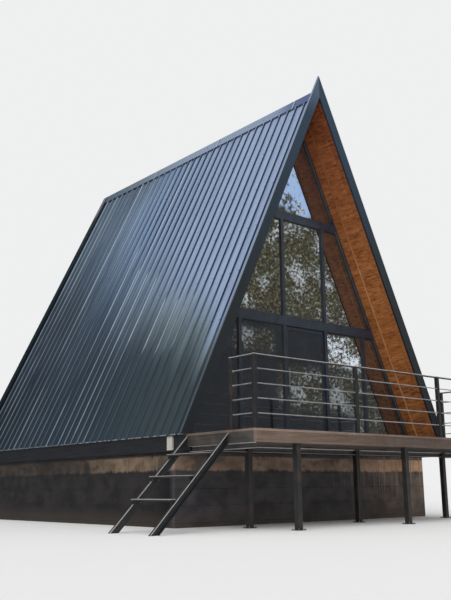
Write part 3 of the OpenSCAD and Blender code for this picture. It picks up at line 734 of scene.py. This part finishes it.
# Sawn softwood, with painted shade on its lowest few centimetres above the floor level.
FRAME_WOOD = planed_wood("sawn_softwood", (0.30, 0.18, 0.09), (0.50, 0.34, 0.19), "z", 0.70, 0.0,
                         ("z", FLOOR_Z + 0.05, FLOOR_Z + 0.03, (0.16, 0.20, 0.30)))
FLOOR_WOOD = planed_wood("floor_oak", (0.17, 0.090, 0.042), (0.30, 0.175, 0.090), "y", 0.42)
WALL_WOOD = planed_wood("wall_wood", (0.26, 0.105, 0.034), (0.42, 0.185, 0.062), "x", 0.52)
BEAM_PAINT = planed_wood("painted_beam", (0.012, 0.014, 0.018), (0.024, 0.027, 0.033), "y", 0.60)
CONCRETE = raw_concrete()
PLASTIC = faded_plastic()
beam_low, beam_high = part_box("deck_beams")
# The beams' steel, with painted highlights along their lower and upper edges.
STEEL = worn_steel("beam_steel", (0.058, 0.058, 0.062), 0.30,
                   [(0.38, beam_low.z - 0.001, beam_low.z + 0.006),
                    (0.74, beam_high.z - 0.009, beam_high.z + 0.001)])
POSTS = worn_steel("post_steel", (0.014, 0.0145, 0.0145), 0.3)
RAIL_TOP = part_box("front_railing")[1].z
# Painted highlight along the top of the railing.
RAILS = worn_steel("rail_steel", (0.010, 0.0105, 0.012), 0.15, [(0.38, RAIL_TOP - 0.011, RAIL_TOP + 0.001)])
STRINGERS = slanted_steel()
# Painted highlight along the top edges of the treads.
TREADS = worn_steel("tread_boards", (0.018, 0.017, 0.018), 0.1,
                    [(0.38, high.z - 0.007, high.z + 0.001) for low, high in part_extents("stair_treads")])
RODS = worn_steel("rod_steel", (0.21, 0.205, 0.20), 0.1)

CAD_FINISHES = (
    (ROOF, "left_roof_sheets right_roof_sheets"),
    (CAP, "ridge_cap"),
    (VERGE, "front_left_verge front_right_verge"),
    (BACK_VERGE, "back_left_verge back_right_verge"),
    (FRAME_WOOD, "left_boarding right_boarding left_rafters right_rafters floor_joists loft_ties"),
    (FRAMES, "left_slanted_frame right_slanted_frame front_sill mid_beam top_transom mullions"),
    (FRAMES, "door_leaf door_hinges back_window_frames"),
    (GLASS, "gable_glass door_glass back_window_glass"),
    (BRIGHT, "door_handles"),
    (WALL_WOOD, "back_wall"),
    (BEAM_PAINT, "side_edge_beams end_edge_beams"),
    (CONCRETE, "front_foundation_wall back_foundation_wall left_foundation_wall right_foundation_wall"),
    (JOIST_WOOD, "deck_joists"),
    (STEEL, "deck_beams"),
    (POSTS, "deck_posts"),
    (STRINGERS, "stair_stringers"),
)
for finish, names in CAD_FINISHES:
    for name in names.split():
        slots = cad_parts[name].data.materials
        slots.clear()
        slots.append(finish)

# Roof fixings

SCREW_ROWS = 8
for word, side in SIDES.items():
    screws = Shape()
    for row in range(SCREW_ROWS):
        up = 0.12 + row * (SLOPE_LEN - 0.40) / (SCREW_ROWS - 1)
        for rib in range(RIBS):
            foot = on_slope(side, up, FIRST_RIB + rib * RIB_PITCH, 0.0004)
            screws.screw(foot, square_to(side), 0.0055, 0.009)
    screws.piece(word + "_roof_screws", "roof_metal", COATED_SCREWS)

cap_low, cap_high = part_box("ridge_cap")
cap = Shape()
for side in (-1, 1):
    y = cap_low.y + 0.10
    while y < cap_high.y - 0.05:
        cap.screw(on_slope(side, SLOPE_LEN - 0.115, y, -0.003), square_to(side), 0.0055, 0.009)
        y += RIB_PITCH * 2
cap.piece("ridge_cap_screws", "cap_metal", COATED_SCREWS)

# Laps and screws on the front verges

LAPS, VERGE_SCREWS = 3, 15
for word, side in SIDES.items():
    laps, fixings = Shape(), Shape()
    for n in range(LAPS):
        low = [on_slope(side, 1.9 + n * 2.15, VERGE_Y + back, depth) for back, depth in
               ((0.0004, 0.004 - PROUD), (-0.0012, 0.004 - PROUD), (-0.0012, 0.070), (0.0004, 0.070))]
        laps.skin([low, [p + up_slope(side) * 0.06 for p in low]])
    for n in range(VERGE_SCREWS):
        for depth in (0.03 - PROUD, 0.045):
            fixings.screw(on_slope(side, 0.25 + n * 0.48, VERGE_Y, depth), -Y, 0.004, 0.006)
    laps.piece(word + "_verge_laps", "trim_metal", VERGE)
    fixings.piece(word + "_verge_screws", "trim_metal", COATED_SCREWS)

# Soffits and lining: boards along the roof, which rise with the flare of both overhangs

BOARD = 0.096
JOINT = 0.0003
EDGE_W, EDGE_LEN = 0.085, 2.4
COVER_Y = -0.165
SLANT_W = 0.060
STRIP_W = 0.020
FLARE = (LINING_FACE - VERGE_LINING - LINING_T) / -LAYER_Y[0]


def lining_at(y):
    """Depths of the lining's upper and lower face at a place along the roof."""
    out = max(-y, y - WALL_BACK_Y, 0.0)
    face = LINING_FACE - FLARE * out
    return (y, face - LINING_T, face)


for word, side in SIDES.items():
    boards, edges, covers = Shape(), Shape(), Shape()
    front_edge, back_edge = LAYER_Y[0] + EDGE_W, LAYER_Y[1] - EDGE_W
    for n in range(math.ceil(SLOPE_LEN / BOARD)):
        low, high = n * BOARD + JOINT, (n + 1) * BOARD - JOINT
        inner = sorted(dice.uniform(0.8, WALL_BACK_Y - 0.8) for _ in range(2))
        stops = [front_edge + JOINT, COVER_Y, 0.0, *inner, WALL_BACK_Y, back_edge - JOINT]
        for y0, y1 in pairs(stops):
            if y1 - y0 > 0.05:
                slope_board(boards, side, low, high, [lining_at(y0 + JOINT / 2), lining_at(y1 - JOINT / 2)])
    for y0, y1 in ((LAYER_Y[0], front_edge), (back_edge, LAYER_Y[1])):
        low = 0.0
        while low < SLOPE_LEN:
            slope_board(edges, side, low + JOINT, min(low + EDGE_LEN, SLOPE_LEN) - JOINT,
                        [lining_at(y0 + 0.0006), lining_at(y1 - 0.0006)], 0.002)
            low += EDGE_LEN
    faces = [(y, lining_at(y)[2]) for y in (COVER_Y - STRIP_W / 2, COVER_Y + STRIP_W / 2)]
    slope_board(covers, side, 0.09, SLOPE_LEN - 0.12, [(y, face - 0.002, face + 0.005) for y, face in faces],
                0.0015)
    boards.piece(word + "_lining_boards", "lining_wood", STAINED, word + "_lining")
    edges.piece(word + "_soffit_edges", "lining_wood", STAINED)
    covers.piece(word + "_soffit_cover_strip", "lining_wood", STRIP)


# Glazing beads: a frame of beads round each pane, in front and behind

def pane_outline(points):
    """The corners of a pane's front face, in order round its middle, without those on a straight edge."""
    y = min(p.y for p in points)
    flat = [p for p in points if p.y < y + 0.001]
    middle = sum(flat, Vector()) / len(flat)
    flat.sort(key=lambda p: math.atan2(p.z - middle.z, p.x - middle.x))
    kept = []
    for before, p, after in zip(flat[-1:] + flat, flat, flat[1:] + flat[:1]):
        turn = (p - before).normalized().cross((after - p).normalized()).length
        if turn > 0.01:
            kept.append(p)
    return kept


def inset(corners, by):
    """The outline moved inwards by the same distance on every side."""
    moved = []
    for before, p, after in zip(corners[-1:] + corners, corners, corners[1:] + corners[:1]):
        a, b = (p - before).normalized(), (after - p).normalized()
        na, nb = Vector((-a.z, 0, a.x)), Vector((-b.z, 0, b.x))
        bisector = (na + nb).normalized()
        moved.append(p + bisector * (by / max(0.2, bisector.dot(na))))
    return moved


def bead_ring(shape, corners, y, toward, width, depth):
    """A mitred bead round a pane, lying on its face at y and standing out toward the viewer's side."""
    outer, slant, inner = inset(corners, 0.0005), inset(corners, width * 0.7), inset(corners, width)
    rings = []
    for o, s, i in zip(outer, slant, inner):
        ring = [Vector((o.x, y, o.z)), Vector((o.x, y + toward * depth, o.z)),
                Vector((s.x, y + toward * depth, s.z)), Vector((i.x, y + toward * depth * 0.45, i.z)),
                Vector((i.x, y, i.z))]
        rings.append(ring)
    shape.skin(rings, loop=True)


def beads_for(node, prefix, body, bead, depth):
    beads, seals = Shape(), Shape()
    for points in loose_parts(node):
        corners = pane_outline(points)
        front, back = min(p.y for p in points), max(p.y for p in points)
        for y, toward in ((front, -1), (back, 1)):
            bead_ring(beads, corners, y, toward, bead, depth)
            bead_ring(seals, inset(corners, bead - 0.001), y, toward, 0.006, 0.002)
    beads.piece(prefix + "_beads", "frame_metal", BEADS, body=body)
    seals.piece(prefix + "_seals", "frame_metal", SEAL, body=body)


beads_for("gable_glass", "gable", "cabin", 0.018, 0.014)
beads_for("door_glass", "door", "door", 0.014, 0.008)
beads_for("back_window_glass", "back_window", "cabin", 0.016, 0.012)

STRIP_RUNS = ((0.30, 2.32), (2.58, 4.56), (4.80, 6.35))
for word, side in SIDES.items():
    strip = Shape()
    near, far = LINING_FACE + SLANT_W - 0.012, LINING_FACE + SLANT_W - 0.001
    corners = ((-0.003, near), (-0.003, far), (0.002, far), (0.002, near))
    for ends in STRIP_RUNS:
        strip.skin([[on_slope(side, up, y, depth) for y, depth in corners] for up in ends])
    strip.piece(word + "_slanted_strip", "frame_metal", PALE_BEAD)

# Door lock and threshold

lock = Shape()
lock_x, lock_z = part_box("door_leaf")[0].x + 0.025, FLOOR_Z + 0.74
for y, way in ((FRAME_D - 0.050, -1), (FRAME_D, 1)):
    for out, sides, profile in ((-0.001, 20, [(0, 0.020), (0.004, 0.020), (0.006, 0.0175)]),
                                (0.004, 14, [(0, 0.0085), (0.007, 0.0085), (0.008, 0.007)])):
        lock.lathe((lock_x, y + way * out, lock_z), (0, way, 0), profile, sides)
lock.piece("door_lock", "handle_metal", BRIGHT, body="door")

threshold = Shape()
threshold.timber((-0.485, -0.020, FLOOR_Z + 0.0005), (0.485, -0.0005, FLOOR_Z + 0.022), "x", 0.004)
for n in range(7):
    y = n * 0.0024
    threshold.timber((-0.480, y - 0.018, FLOOR_Z + 0.0215), (0.480, y - 0.0168, FLOOR_Z + 0.0228),
                     "x", 0.0003)
threshold.piece("door_threshold", "handle_metal", BRIGHT)

# Back gable: level boards outside and in, window casings and sills

WINDOWS = part_extents("back_window_frames")
BOARD_CUT = 0.004
CASING_W = 0.085
SILL_Y = WALL_BACK_Y + 0.055


def inner_half(height, clear):
    """Half the room's width at a height, kept clear of the linings."""
    return HALF_W - (LINING_FACE + clear) / SIN - (height - FLOOR_Z) * COS / SIN


def wall_boards(y0, y1, board, face_out):
    """Level boards on the back wall between the two linings, cut round the windows."""
    boards = Shape()
    outer, inner, step = (y1, y0, BOARD_CUT) if face_out else (y0, y1, -BOARD_CUT)
    z = FLOOR_Z + 0.001
    while z < FLOOR_Z + RISE - 0.45:
        low, high = z + 0.0015, min(z + board, FLOOR_Z + RISE) - 0.0015
        cuts = [(a.x, b.x) for a, b in WINDOWS if low < b.z and high > a.z]
        if not cuts:
            joint = dice.uniform(-0.5, 0.5) * inner_half(high, 0.0006)
            cuts = [(joint - 0.001, joint + 0.001)]
        ring = [(low + BOARD_CUT, outer), (high - BOARD_CUT, outer), (high, outer - step), (high, inner),
                (low, inner), (low, outer - step)]
        for left, right in zip([None] + [b for a, b in cuts], [a for a, b in cuts] + [None]):
            rings = []
            for end, side in ((left, -1), (right, 1)):
                places = [side * inner_half(h, 0.0006) if end is None else end for h, y in ring]
                rings.append([Vector((x, y, h)) for x, (h, y) in zip(places, ring)])
            boards.skin(rings)
        z += board
    return boards


cladding = wall_boards(WALL_BACK_Y - 0.002, WALL_BACK_Y + 0.018, 0.140, True)
cladding.piece("back_wall_cladding", "lining_wood", WALL_WOOD)
inner_boards = wall_boards(WALL_IN_Y - 0.010, WALL_IN_Y + 0.001, 0.096, False)
inner_boards.piece("back_wall_inner_boards", "lining_wood", WALL_WOOD)

casings, sills = Shape(), Shape()
for low, high in WINDOWS:
    y0, y1 = WALL_BACK_Y + 0.010, WALL_BACK_Y + 0.030
    for a, b in ((low.x - CASING_W, low.x), (high.x, high.x + CASING_W)):
        casings.timber((a, y0, low.z - 0.002), (b, y1, high.z + 0.002), "z", 0.003)
    head_low = (low.x - CASING_W - 0.02, y0, high.z)
    head_high = (high.x + CASING_W + 0.02, y1 + 0.006, high.z + CASING_W)
    casings.timber(head_low, head_high, "x", 0.003)
    for past, y, under in ((-0.001, high.y - 0.004, 0.003), (0.02, WALL_BACK_Y + 0.019, 0.028)):
        sills.timber((low.x - past, y, low.z - under), (high.x + past, SILL_Y, low.z + 0.006), "x", 0.002)
casings.piece("back_window_casings", "lining_wood", CASING_WOOD)
sills.piece("back_window_sills", "trim_metal", BACK_VERGE)

# Floors


def plank_floor(name, node, x0, x1, width, gap):
    """Planks along the cabin in place of a floor node, each row in up to three lengths."""
    low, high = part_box(node)
    rows = int((x1 - x0) / width)
    width = (x1 - x0) / rows
    planks = Shape()
    for n in range(rows):
        x = x0 + n * width
        joints = sorted(dice.uniform(low.y + 0.7, high.y - 0.7) for _ in range(2))
        stops = [low.y, *joints, high.y]
        for y0, y1 in pairs(stops):
            if y1 - y0 > 0.1:
                planks.timber((x + gap, y0 + gap, low.z), (x + width - gap, y1 - gap, high.z), "y", 0.0015)
    planks.piece(name, "floor_wood", FLOOR_WOOD, node)


floor_low, floor_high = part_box("cabin_floor")
plank_floor("floor_planks", "cabin_floor", floor_low.x, floor_high.x, 0.135, 0.0004)
loft_half = inner_half(LOFT_Z, 0.0008)
plank_floor("loft_planks", "loft_floor", -loft_half, loft_half, 0.120, 0.0005)

# Deck planks, with a gap between them and staggered joints

deck_low, deck_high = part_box("deck_boards")
planks, deck_screws = Shape(), Shape()
GAP = 0.005
DECK_SCREWS = 13
ODD_JOINTS, EVEN_JOINTS = (-0.9, 1.2), (0.2,)


def deck_rows(y0, y1, half, rows):
    """Rows of planks along x between two places, each in two or three lengths."""
    pitch = (y1 - y0) / rows
    for n in range(rows):
        a, b = y0 + n * pitch + GAP / 2, y0 + (n + 1) * pitch - GAP / 2
        joints = ODD_JOINTS if n % 2 else EVEN_JOINTS
        stops = [-half, *[j + dice.uniform(-0.05, 0.05) for j in joints], half]
        for x0, x1 in pairs(stops):
            planks.timber((x0 + 0.001, a, deck_low.z), (x1 - 0.001, b, deck_high.z), "x", 0.003)
        for k in range(DECK_SCREWS):
            x = -half * 0.97 + k * half * 1.94 / (DECK_SCREWS - 1)
            for y in (a + 0.025, b - 0.025):
                deck_screws.lathe((x, y, deck_high.z - 0.0012), Z, [(0, 0.0035), (0.0008, 0.0035)], 6)


edge_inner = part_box("end_edge_beams")[1].x
deck_rows(deck_low.y, VERGE_Y, deck_high.x, 10)
deck_rows(VERGE_Y, deck_high.y, edge_inner, 3)
planks.piece("deck_planks", "deck_wood", DECKING, "deck_boards")
deck_screws.piece("deck_screws", "deck_wood", ZINC)

# Fascias: a main board in lengths, a top nose and a bottom strip, with corner posts

fascia, fascia_side, fascia_screws = Shape(), Shape(), Shape()
NOSE, FOOT, SET_BACK = 0.034, 0.022, 0.007
# Noses carry a tone above 1, which the fascia finishes paint paler as a painted highlight.
NOSE_TONE = 1.5
POST_X = HALF_W - 0.045


def front_board(x0, x1, out, z0, z1, cut, tone=None, axis="x"):
    fascia.timber((x0, DECK_Y + out, z0), (x1, fascia_high.y, z1), axis, cut, tone)


stops = [-POST_X, -0.62, 1.72, POST_X]
for x0, x1 in pairs(stops):
    front_board(x0 + 0.001, x1 - 0.001, SET_BACK, JOIST_Z + FOOT - 0.004, FLOOR_Z - NOSE + 0.004, 0.003)
    spaces = int((x1 - x0) / 0.45)
    for k in range(spaces + 1):
        x = x0 + 0.05 + k * (x1 - x0 - 0.1) / spaces
        for z in (JOIST_Z + 0.05, FLOOR_Z - 0.06):
            foot = (x, DECK_Y + SET_BACK + 0.001, z)
            fascia_screws.lathe(foot, -Y, [(0, 0.004), (0.0014, 0.004), (0.002, 0.003)], 8)
stops = [-HALF_W, -1.35, 1.05, HALF_W]
for x0, x1 in pairs(stops):
    front_board(x0 + 0.0005, x1 - 0.0005, 0.0, FLOOR_Z - NOSE, FLOOR_Z, 0.004, NOSE_TONE)
    front_board(x0 + 0.0005, x1 - 0.0005, 0.003, JOIST_Z, JOIST_Z + FOOT, 0.003, 0.75)
for x0, x1 in ((-HALF_W, -POST_X), (POST_X, HALF_W)):
    front_board(x0, x1, 0.002, JOIST_Z + FOOT, FLOOR_Z - NOSE, 0.003, 0.85, "z")
fascia.piece("front_fascia_boards", "deck_wood", FASCIA, "front_fascia")
fascia_screws.piece("fascia_screws", "deck_wood", ZINC)

side_low, side_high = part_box("side_fascias")
FASCIA_T = fascia_high.y - fascia_low.y
for side in (-1, 1):
    for out, z0, z1, cut, tone in ((SET_BACK, JOIST_Z + FOOT - 0.004, FLOOR_Z - NOSE + 0.004, 0.003, None),
                                   (0.0, FLOOR_Z - NOSE, FLOOR_Z, 0.004, NOSE_TONE),
                                   (0.003, JOIST_Z, JOIST_Z + FOOT, 0.003, 0.75)):
        a, b = sorted((side * HALF_W - side * out, side * (HALF_W - FASCIA_T)))
        fascia_side.timber((a, side_low.y + 0.0005, z0), (b, side_high.y, z1), "y", cut, tone)
fascia_side.piece("side_fascia_boards", "deck_wood", SIDE_FASCIA, "side_fascias")

# Post plates and bolts under the deck

plates, bolts = Shape(), Shape()
for low, high in part_extents("deck_posts"):
    x, y = (low.x + high.x) / 2, (low.y + high.y) / 2
    for half, z0, z1, cut in ((0.075, 0.0, 0.010, 0.006), (0.055, JOIST_Z - 0.008, JOIST_Z - 0.0005, 0.004)):
        plates.block(x, y, half, z0, z1, cut)
    for bolt in ((x + dx * 0.058, y + dy * 0.058) for dx in (-1, 1) for dy in (-1, 1)):
        bolts.lathe((*bolt, 0.009), Z, [(0, 0.011), (0.002, 0.011)], 12)
        bolts.lathe((*bolt, 0.011), Z, [(0, 0.008), (0.007, 0.008), (0.008, 0.006)], 6)
        bolts.lathe((*bolt, 0.017), Z, [(0, 0.005), (0.009, 0.005), (0.010, 0.004)], 8)
plates.piece("post_plates", "steel", POSTS)
bolts.piece("post_bolts", "steel", ZINC)

# Railing: square posts on plates, a flat top rail, and rods let into the posts

rail_low, rail_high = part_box("front_railing")
RAIL_H = rail_high.z - FLOOR_Z
POST, HANDRAIL_W, HANDRAIL_H = 0.060, 0.040, 0.025
rail_x, rail_y = rail_high.x - POST / 2, rail_low.y + POST / 2
BAYS, BARS = 3, 4


def railing_post(steel, fixings, x, y):
    for half, height, cut in ((POST / 2, RAIL_H, 0.006), (POST / 2 - 0.001, 0.006, 0.004)):
        steel.block(x, y, half, FLOOR_Z, FLOOR_Z + height, cut)
    for z in (FLOOR_Z + 0.045, FLOOR_Z + 0.115):
        fixings.lathe((x, y - POST / 2 + 0.002, z), -Y, [(0, 0.008), (0.0005, 0.008)], 6)


def railing_run(steel, rods, fixings, start, end):
    """Top rail and rods from one post's middle to the next one's."""
    way = (end - start).normalized()
    across = way.cross(Z)
    top = FLOOR_Z + RAIL_H - HANDRAIL_H / 2
    steel.run(start + Z * (top - start.z), end + Z * (top - end.z), across, Z,
              chamfered(HANDRAIL_W, HANDRAIL_H, 0.005))
    for i in range(1, BARS + 1):
        z = FLOOR_Z + i * RAIL_H / (BARS + 1)
        a, b = start + Z * (z - start.z), end + Z * (z - end.z)
        rods.rod(a + way * (POST / 2 - 0.004), b - way * (POST / 2 - 0.004), 0.008, 14)
        for p, toward in ((a, way), (b, -way)):
            collar = [(0, 0.0135), (0.005, 0.0135), (0.008, 0.0095)]
            fixings.lathe(p + toward * (POST / 2 - 0.001), toward, collar, 14)


def railing(prefix, corners, posts, node):
    steel, rods, fixings = Shape(), Shape(), Shape()
    for x, y in posts:
        railing_post(steel, fixings, x, y)
    for a, b in pairs(corners):
        railing_run(steel, rods, fixings, Vector((*a, FLOOR_Z)), Vector((*b, FLOOR_Z)))
    steel.piece(prefix + "_railing_posts", "steel", RAILS, node)
    rods.piece(prefix + "_railing_rods", "steel", RODS)
    fixings.piece(prefix + "_railing_collars", "steel", RODS)


front_posts = [(-rail_x + i * 2 * rail_x / BAYS, rail_y) for i in range(BAYS + 1)]
railing("front", front_posts, front_posts, "front_railing")
for word, side in SIDES.items():
    end = (side * rail_x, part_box(word + "_railing")[1].y - POST / 2)
    railing(word, [(side * rail_x, rail_y), end], [end], word + "_railing")

# Stair treads with a painted highlight along their top edges, brackets and bolts

treads, brackets, tread_bolts = Shape(), Shape(), Shape()
for low, high in part_extents("stair_treads"):
    half = (high.x - low.x) / 2
    treads.timber(low, (low.x + half - 0.004, high.y, high.z), "y", 0.004)
    treads.timber((low.x + half + 0.004, low.y, low.z), high, "y", 0.004)
    for y, way in ((low.y, 1), (high.y, -1)):
        for reach, drop in ((0.045, 0.005), (0.005, 0.045)):
            a, b = sorted((y, y + way * reach))
            brackets.timber((low.x + 0.03, a, low.z - drop), (high.x - 0.03, b, low.z), "x", 0.0015)
        for x in (low.x + 0.06, high.x - 0.06):
            foot = (x, y + way * 0.004, low.z - 0.026)
            tread_bolts.lathe(foot, (0, way, 0), [(0, 0.008), (0.006, 0.008), (0.007, 0.006)], 6)
treads.piece("stair_tread_planks", "deck_wood", TREADS, "stair_treads")
brackets.piece("tread_brackets", "steel", RAILS)
tread_bolts.piece("tread_bolts", "steel", ZINC)

# Service box: body, lid with a seam, hinge pins and a lock

box_low, box_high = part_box("service_box_left")
service = Shape()
for x0, x1, rim, cut, tone in ((box_low.x + 0.009, box_high.x, 0.003, 0.006, 0.2),
                               (box_low.x + 0.001, box_low.x + 0.0085, 0.0, 0.006, 0.9),
                               (box_low.x, box_low.x + 0.004, 0.018, 0.004, 0.7)):
    service.timber((x0, box_low.y + rim, box_low.z + rim), (x1, box_high.y - rim, box_high.z - rim),
                   "x", cut, tone)
service.piece("service_box", "box_plastic", PLASTIC, "service_box_left")
box_parts = Shape()
lock_foot = (box_low.x + 0.0045, box_high.y - 0.012, (box_low.z + box_high.z) / 2)
box_parts.lathe(lock_foot, -X, [(0, 0.0065), (0.004, 0.0065), (0.0045, 0.005)], 12)
pin_x, pin_y = box_low.x + 0.006, box_low.y + 0.001
for z in (box_low.z + 0.04, box_high.z - 0.04):
    box_parts.rod((pin_x, pin_y, z - 0.014), (pin_x, pin_y, z + 0.014), 0.003, 8)
box_parts.piece("service_box_lock", "box_plastic", ZINC)

# Camera at the photograph's place

YAW, PITCH, ROLL = 0.70169, 0.22789, -0.01032
FOCAL_PIXELS, PICTURE_H, SENSOR_H = 809.646, 600, 36
ahead = Vector((math.sin(YAW) * math.cos(PITCH), math.cos(YAW) * math.cos(PITCH), math.sin(PITCH)))
level = Vector((math.cos(YAW), -math.sin(YAW), 0))
over = level.cross(ahead)
right = level * math.cos(ROLL) + over * math.sin(ROLL)
top = over * math.cos(ROLL) - level * math.sin(ROLL)
camera = bpy.data.objects.new("camera", bpy.data.cameras.new("camera"))
place = Matrix((right, top, -ahead)).transposed().to_4x4()
place.translation = (-10.32882, -9.9932, 0.57158)
camera.matrix_world = place
camera.data.sensor_fit = "VERTICAL"
camera.data.sensor_height = SENSOR_H
camera.data.lens = FOCAL_PIXELS / PICTURE_H * SENSOR_H
bpy.context.collection.objects.link(camera)
bpy.context.scene.camera = camera
bpy.context.scene.view_settings.view_transform = "Standard"

# Studio: a pale floor, an even sky and soft lamps

PALE = (0.86, 0.865, 0.87)
world = bpy.context.scene.world = bpy.data.worlds.new("studio")
world.use_nodes = True
tree = world.node_tree
sky = tree.nodes["Background"]
sky.inputs["Color"].default_value = (1.0, 1.0, 1.0, 1)
sky.inputs["Strength"].default_value = 0.62
seen = tree.nodes.new("ShaderNodeBackground")
seen.inputs["Color"].default_value = (*PALE, 1)
paths = tree.nodes.new("ShaderNodeLightPath")
pale_for = paths.outputs["Is Camera Ray"]
for ray in ("Is Glossy Ray", "Is Transmission Ray"):
    either = tree.nodes.new("ShaderNodeMath")
    either.operation = "MAXIMUM"
    tree.links.new(pale_for, either.inputs[0])
    tree.links.new(paths.outputs[ray], either.inputs[1])
    pale_for = either.outputs[0]
blend = tree.nodes.new("ShaderNodeMixShader")
tree.links.new(pale_for, blend.inputs[0])
tree.links.new(sky.outputs[0], blend.inputs[1])
tree.links.new(seen.outputs[0], blend.inputs[2])
tree.links.new(blend.outputs[0], tree.nodes["World Output"].inputs[0])


def flat_card(name, corners, finish):
    mesh = bpy.data.meshes.new(name)
    mesh.from_pydata([tuple(c) for c in corners], [], [(0, 1, 2, 3)])
    mesh.materials.append(finish)
    card = bpy.data.objects.new(name, mesh)
    bpy.context.scene.collection.objects.link(card)
    card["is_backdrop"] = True
    return card


def stage_paint(name, colour):
    f = Finish(name)
    f.colour = f.mix(f.noise(0.5, 3), times(colour, 0.985), colour)
    return f.done(0.9)


reach = 400.0
flat_card("studio_floor", [(-reach, -reach, 0), (reach, -reach, 0), (reach, reach, 0), (-reach, reach, 0)],
          stage_paint("studio_floor_paint", (0.875, 0.875, 0.87)))


def reflected_card(name, corners, finish):
    """A flag beside the set: only reflections see it."""
    card = flat_card(name, corners, finish)
    card.visible_camera = card.visible_diffuse = card.visible_shadow = card.visible_transmission = False


def glowing_reflection_card(name):
    """A glowing finish that paints a reflected scene: dark with pale glowing blots in patches, and a bright
    glowing pale blue top with dark blots in it.
    """
    f = Finish(name, Emission_Strength=2.0)
    broad, fine = f.noise(0.8, 4), f.noise(7.5, 4, 0.7)
    share = f.z.fade(7.0, 8.2)
    for x0, x1, z0, z1, soft, much in ((15.9, 18.0, 5.9, 7.0, 0.4, 1.0), (13.2, 17.4, 4.0, 5.2, 0.6, 0.50),
                                       (10.6, 12.4, 6.2, 6.7, 0.4, 0.45), (18.0, 30.0, 3.0, 6.5, 0.8, 0.45)):
        share = share.most(f.x.band(x0, x1, soft) * f.z.band(z0, z1, soft) * much)
    ground = f.mix(f.noise(1.6, 4).fade(0.40, 0.60), (0.095, 0.066, 0.044), (0.115, 0.110, 0.060))
    f.colour = f.mix(share, (0.062, 0.064, 0.070), ground)
    f.lay(fine.fade(0.46, 0.60) * share * 0.8, (0.60, 0.55, 0.28))
    cluster = f.x.band(15.9, 18.0, 0.4) * f.z.band(5.7, 7.0, 0.3)
    pale = (0.42 * broad + 0.58 * fine + 0.035 * cluster).fade(0.525, 0.575) * (0.03 + 0.97 * share)
    f.lay(pale, (0.95, 0.97, 0.97))
    leaves = (0.5 * f.noise(1.1, 4) + 0.5 * f.noise(4, 4, 0.7)).fade(0.530, 0.500)
    bright = (f.z + 1.6 * (broad - 0.5)).fade(12.25, 12.55) * leaves.most(f.z.fade(14.6, 16.0))
    low_patch = f.z.fade(7.6, 7.2)
    glow = f.mix(pale * share, (0.0, 0.0, 0.0), f.mix(low_patch, (0.34, 0.35, 0.33), (0.64, 0.68, 0.70)))
    # The card glows though it is no lamp: a painted sky reflection at its top and painted lit patches below.
    f.feed(f.surface.inputs["Emission Color"], f.mix(bright, glow, (0.46, 0.61, 0.88)))
    f.lay(bright, (0.02, 0.02, 0.02))
    return f.done(0.9)


reflected_card("back_left_flag", [(-22, 12, 0), (5, 12, 0), (5, 12, 12), (-22, 12, 12)],
               stage_paint("back_left_cloth", (0.020, 0.030, 0.036)))
reflected_card("front_right_flag", [(2, -14, 0), (34, -14, 0), (34, -14, 18.0), (2, -14, 18.0)],
               glowing_reflection_card("front_right_glowing_card"))


def soft_sun(name, source, strength, spread):
    data = bpy.data.lights.new(name, "SUN")
    data.energy, data.angle = strength, math.radians(spread)
    made = bpy.data.objects.new(name, data)
    made.rotation_euler = (-Vector(source)).to_track_quat("-Z", "Y").to_euler()
    bpy.context.scene.collection.objects.link(made)
    made.visible_glossy = False


soft_sun("soft_key", (-0.60, -0.42, 0.68), 1.35, 50)
soft_sun("soft_fill", (0.50, -0.70, 0.45), 0.45, 80)

low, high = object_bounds()
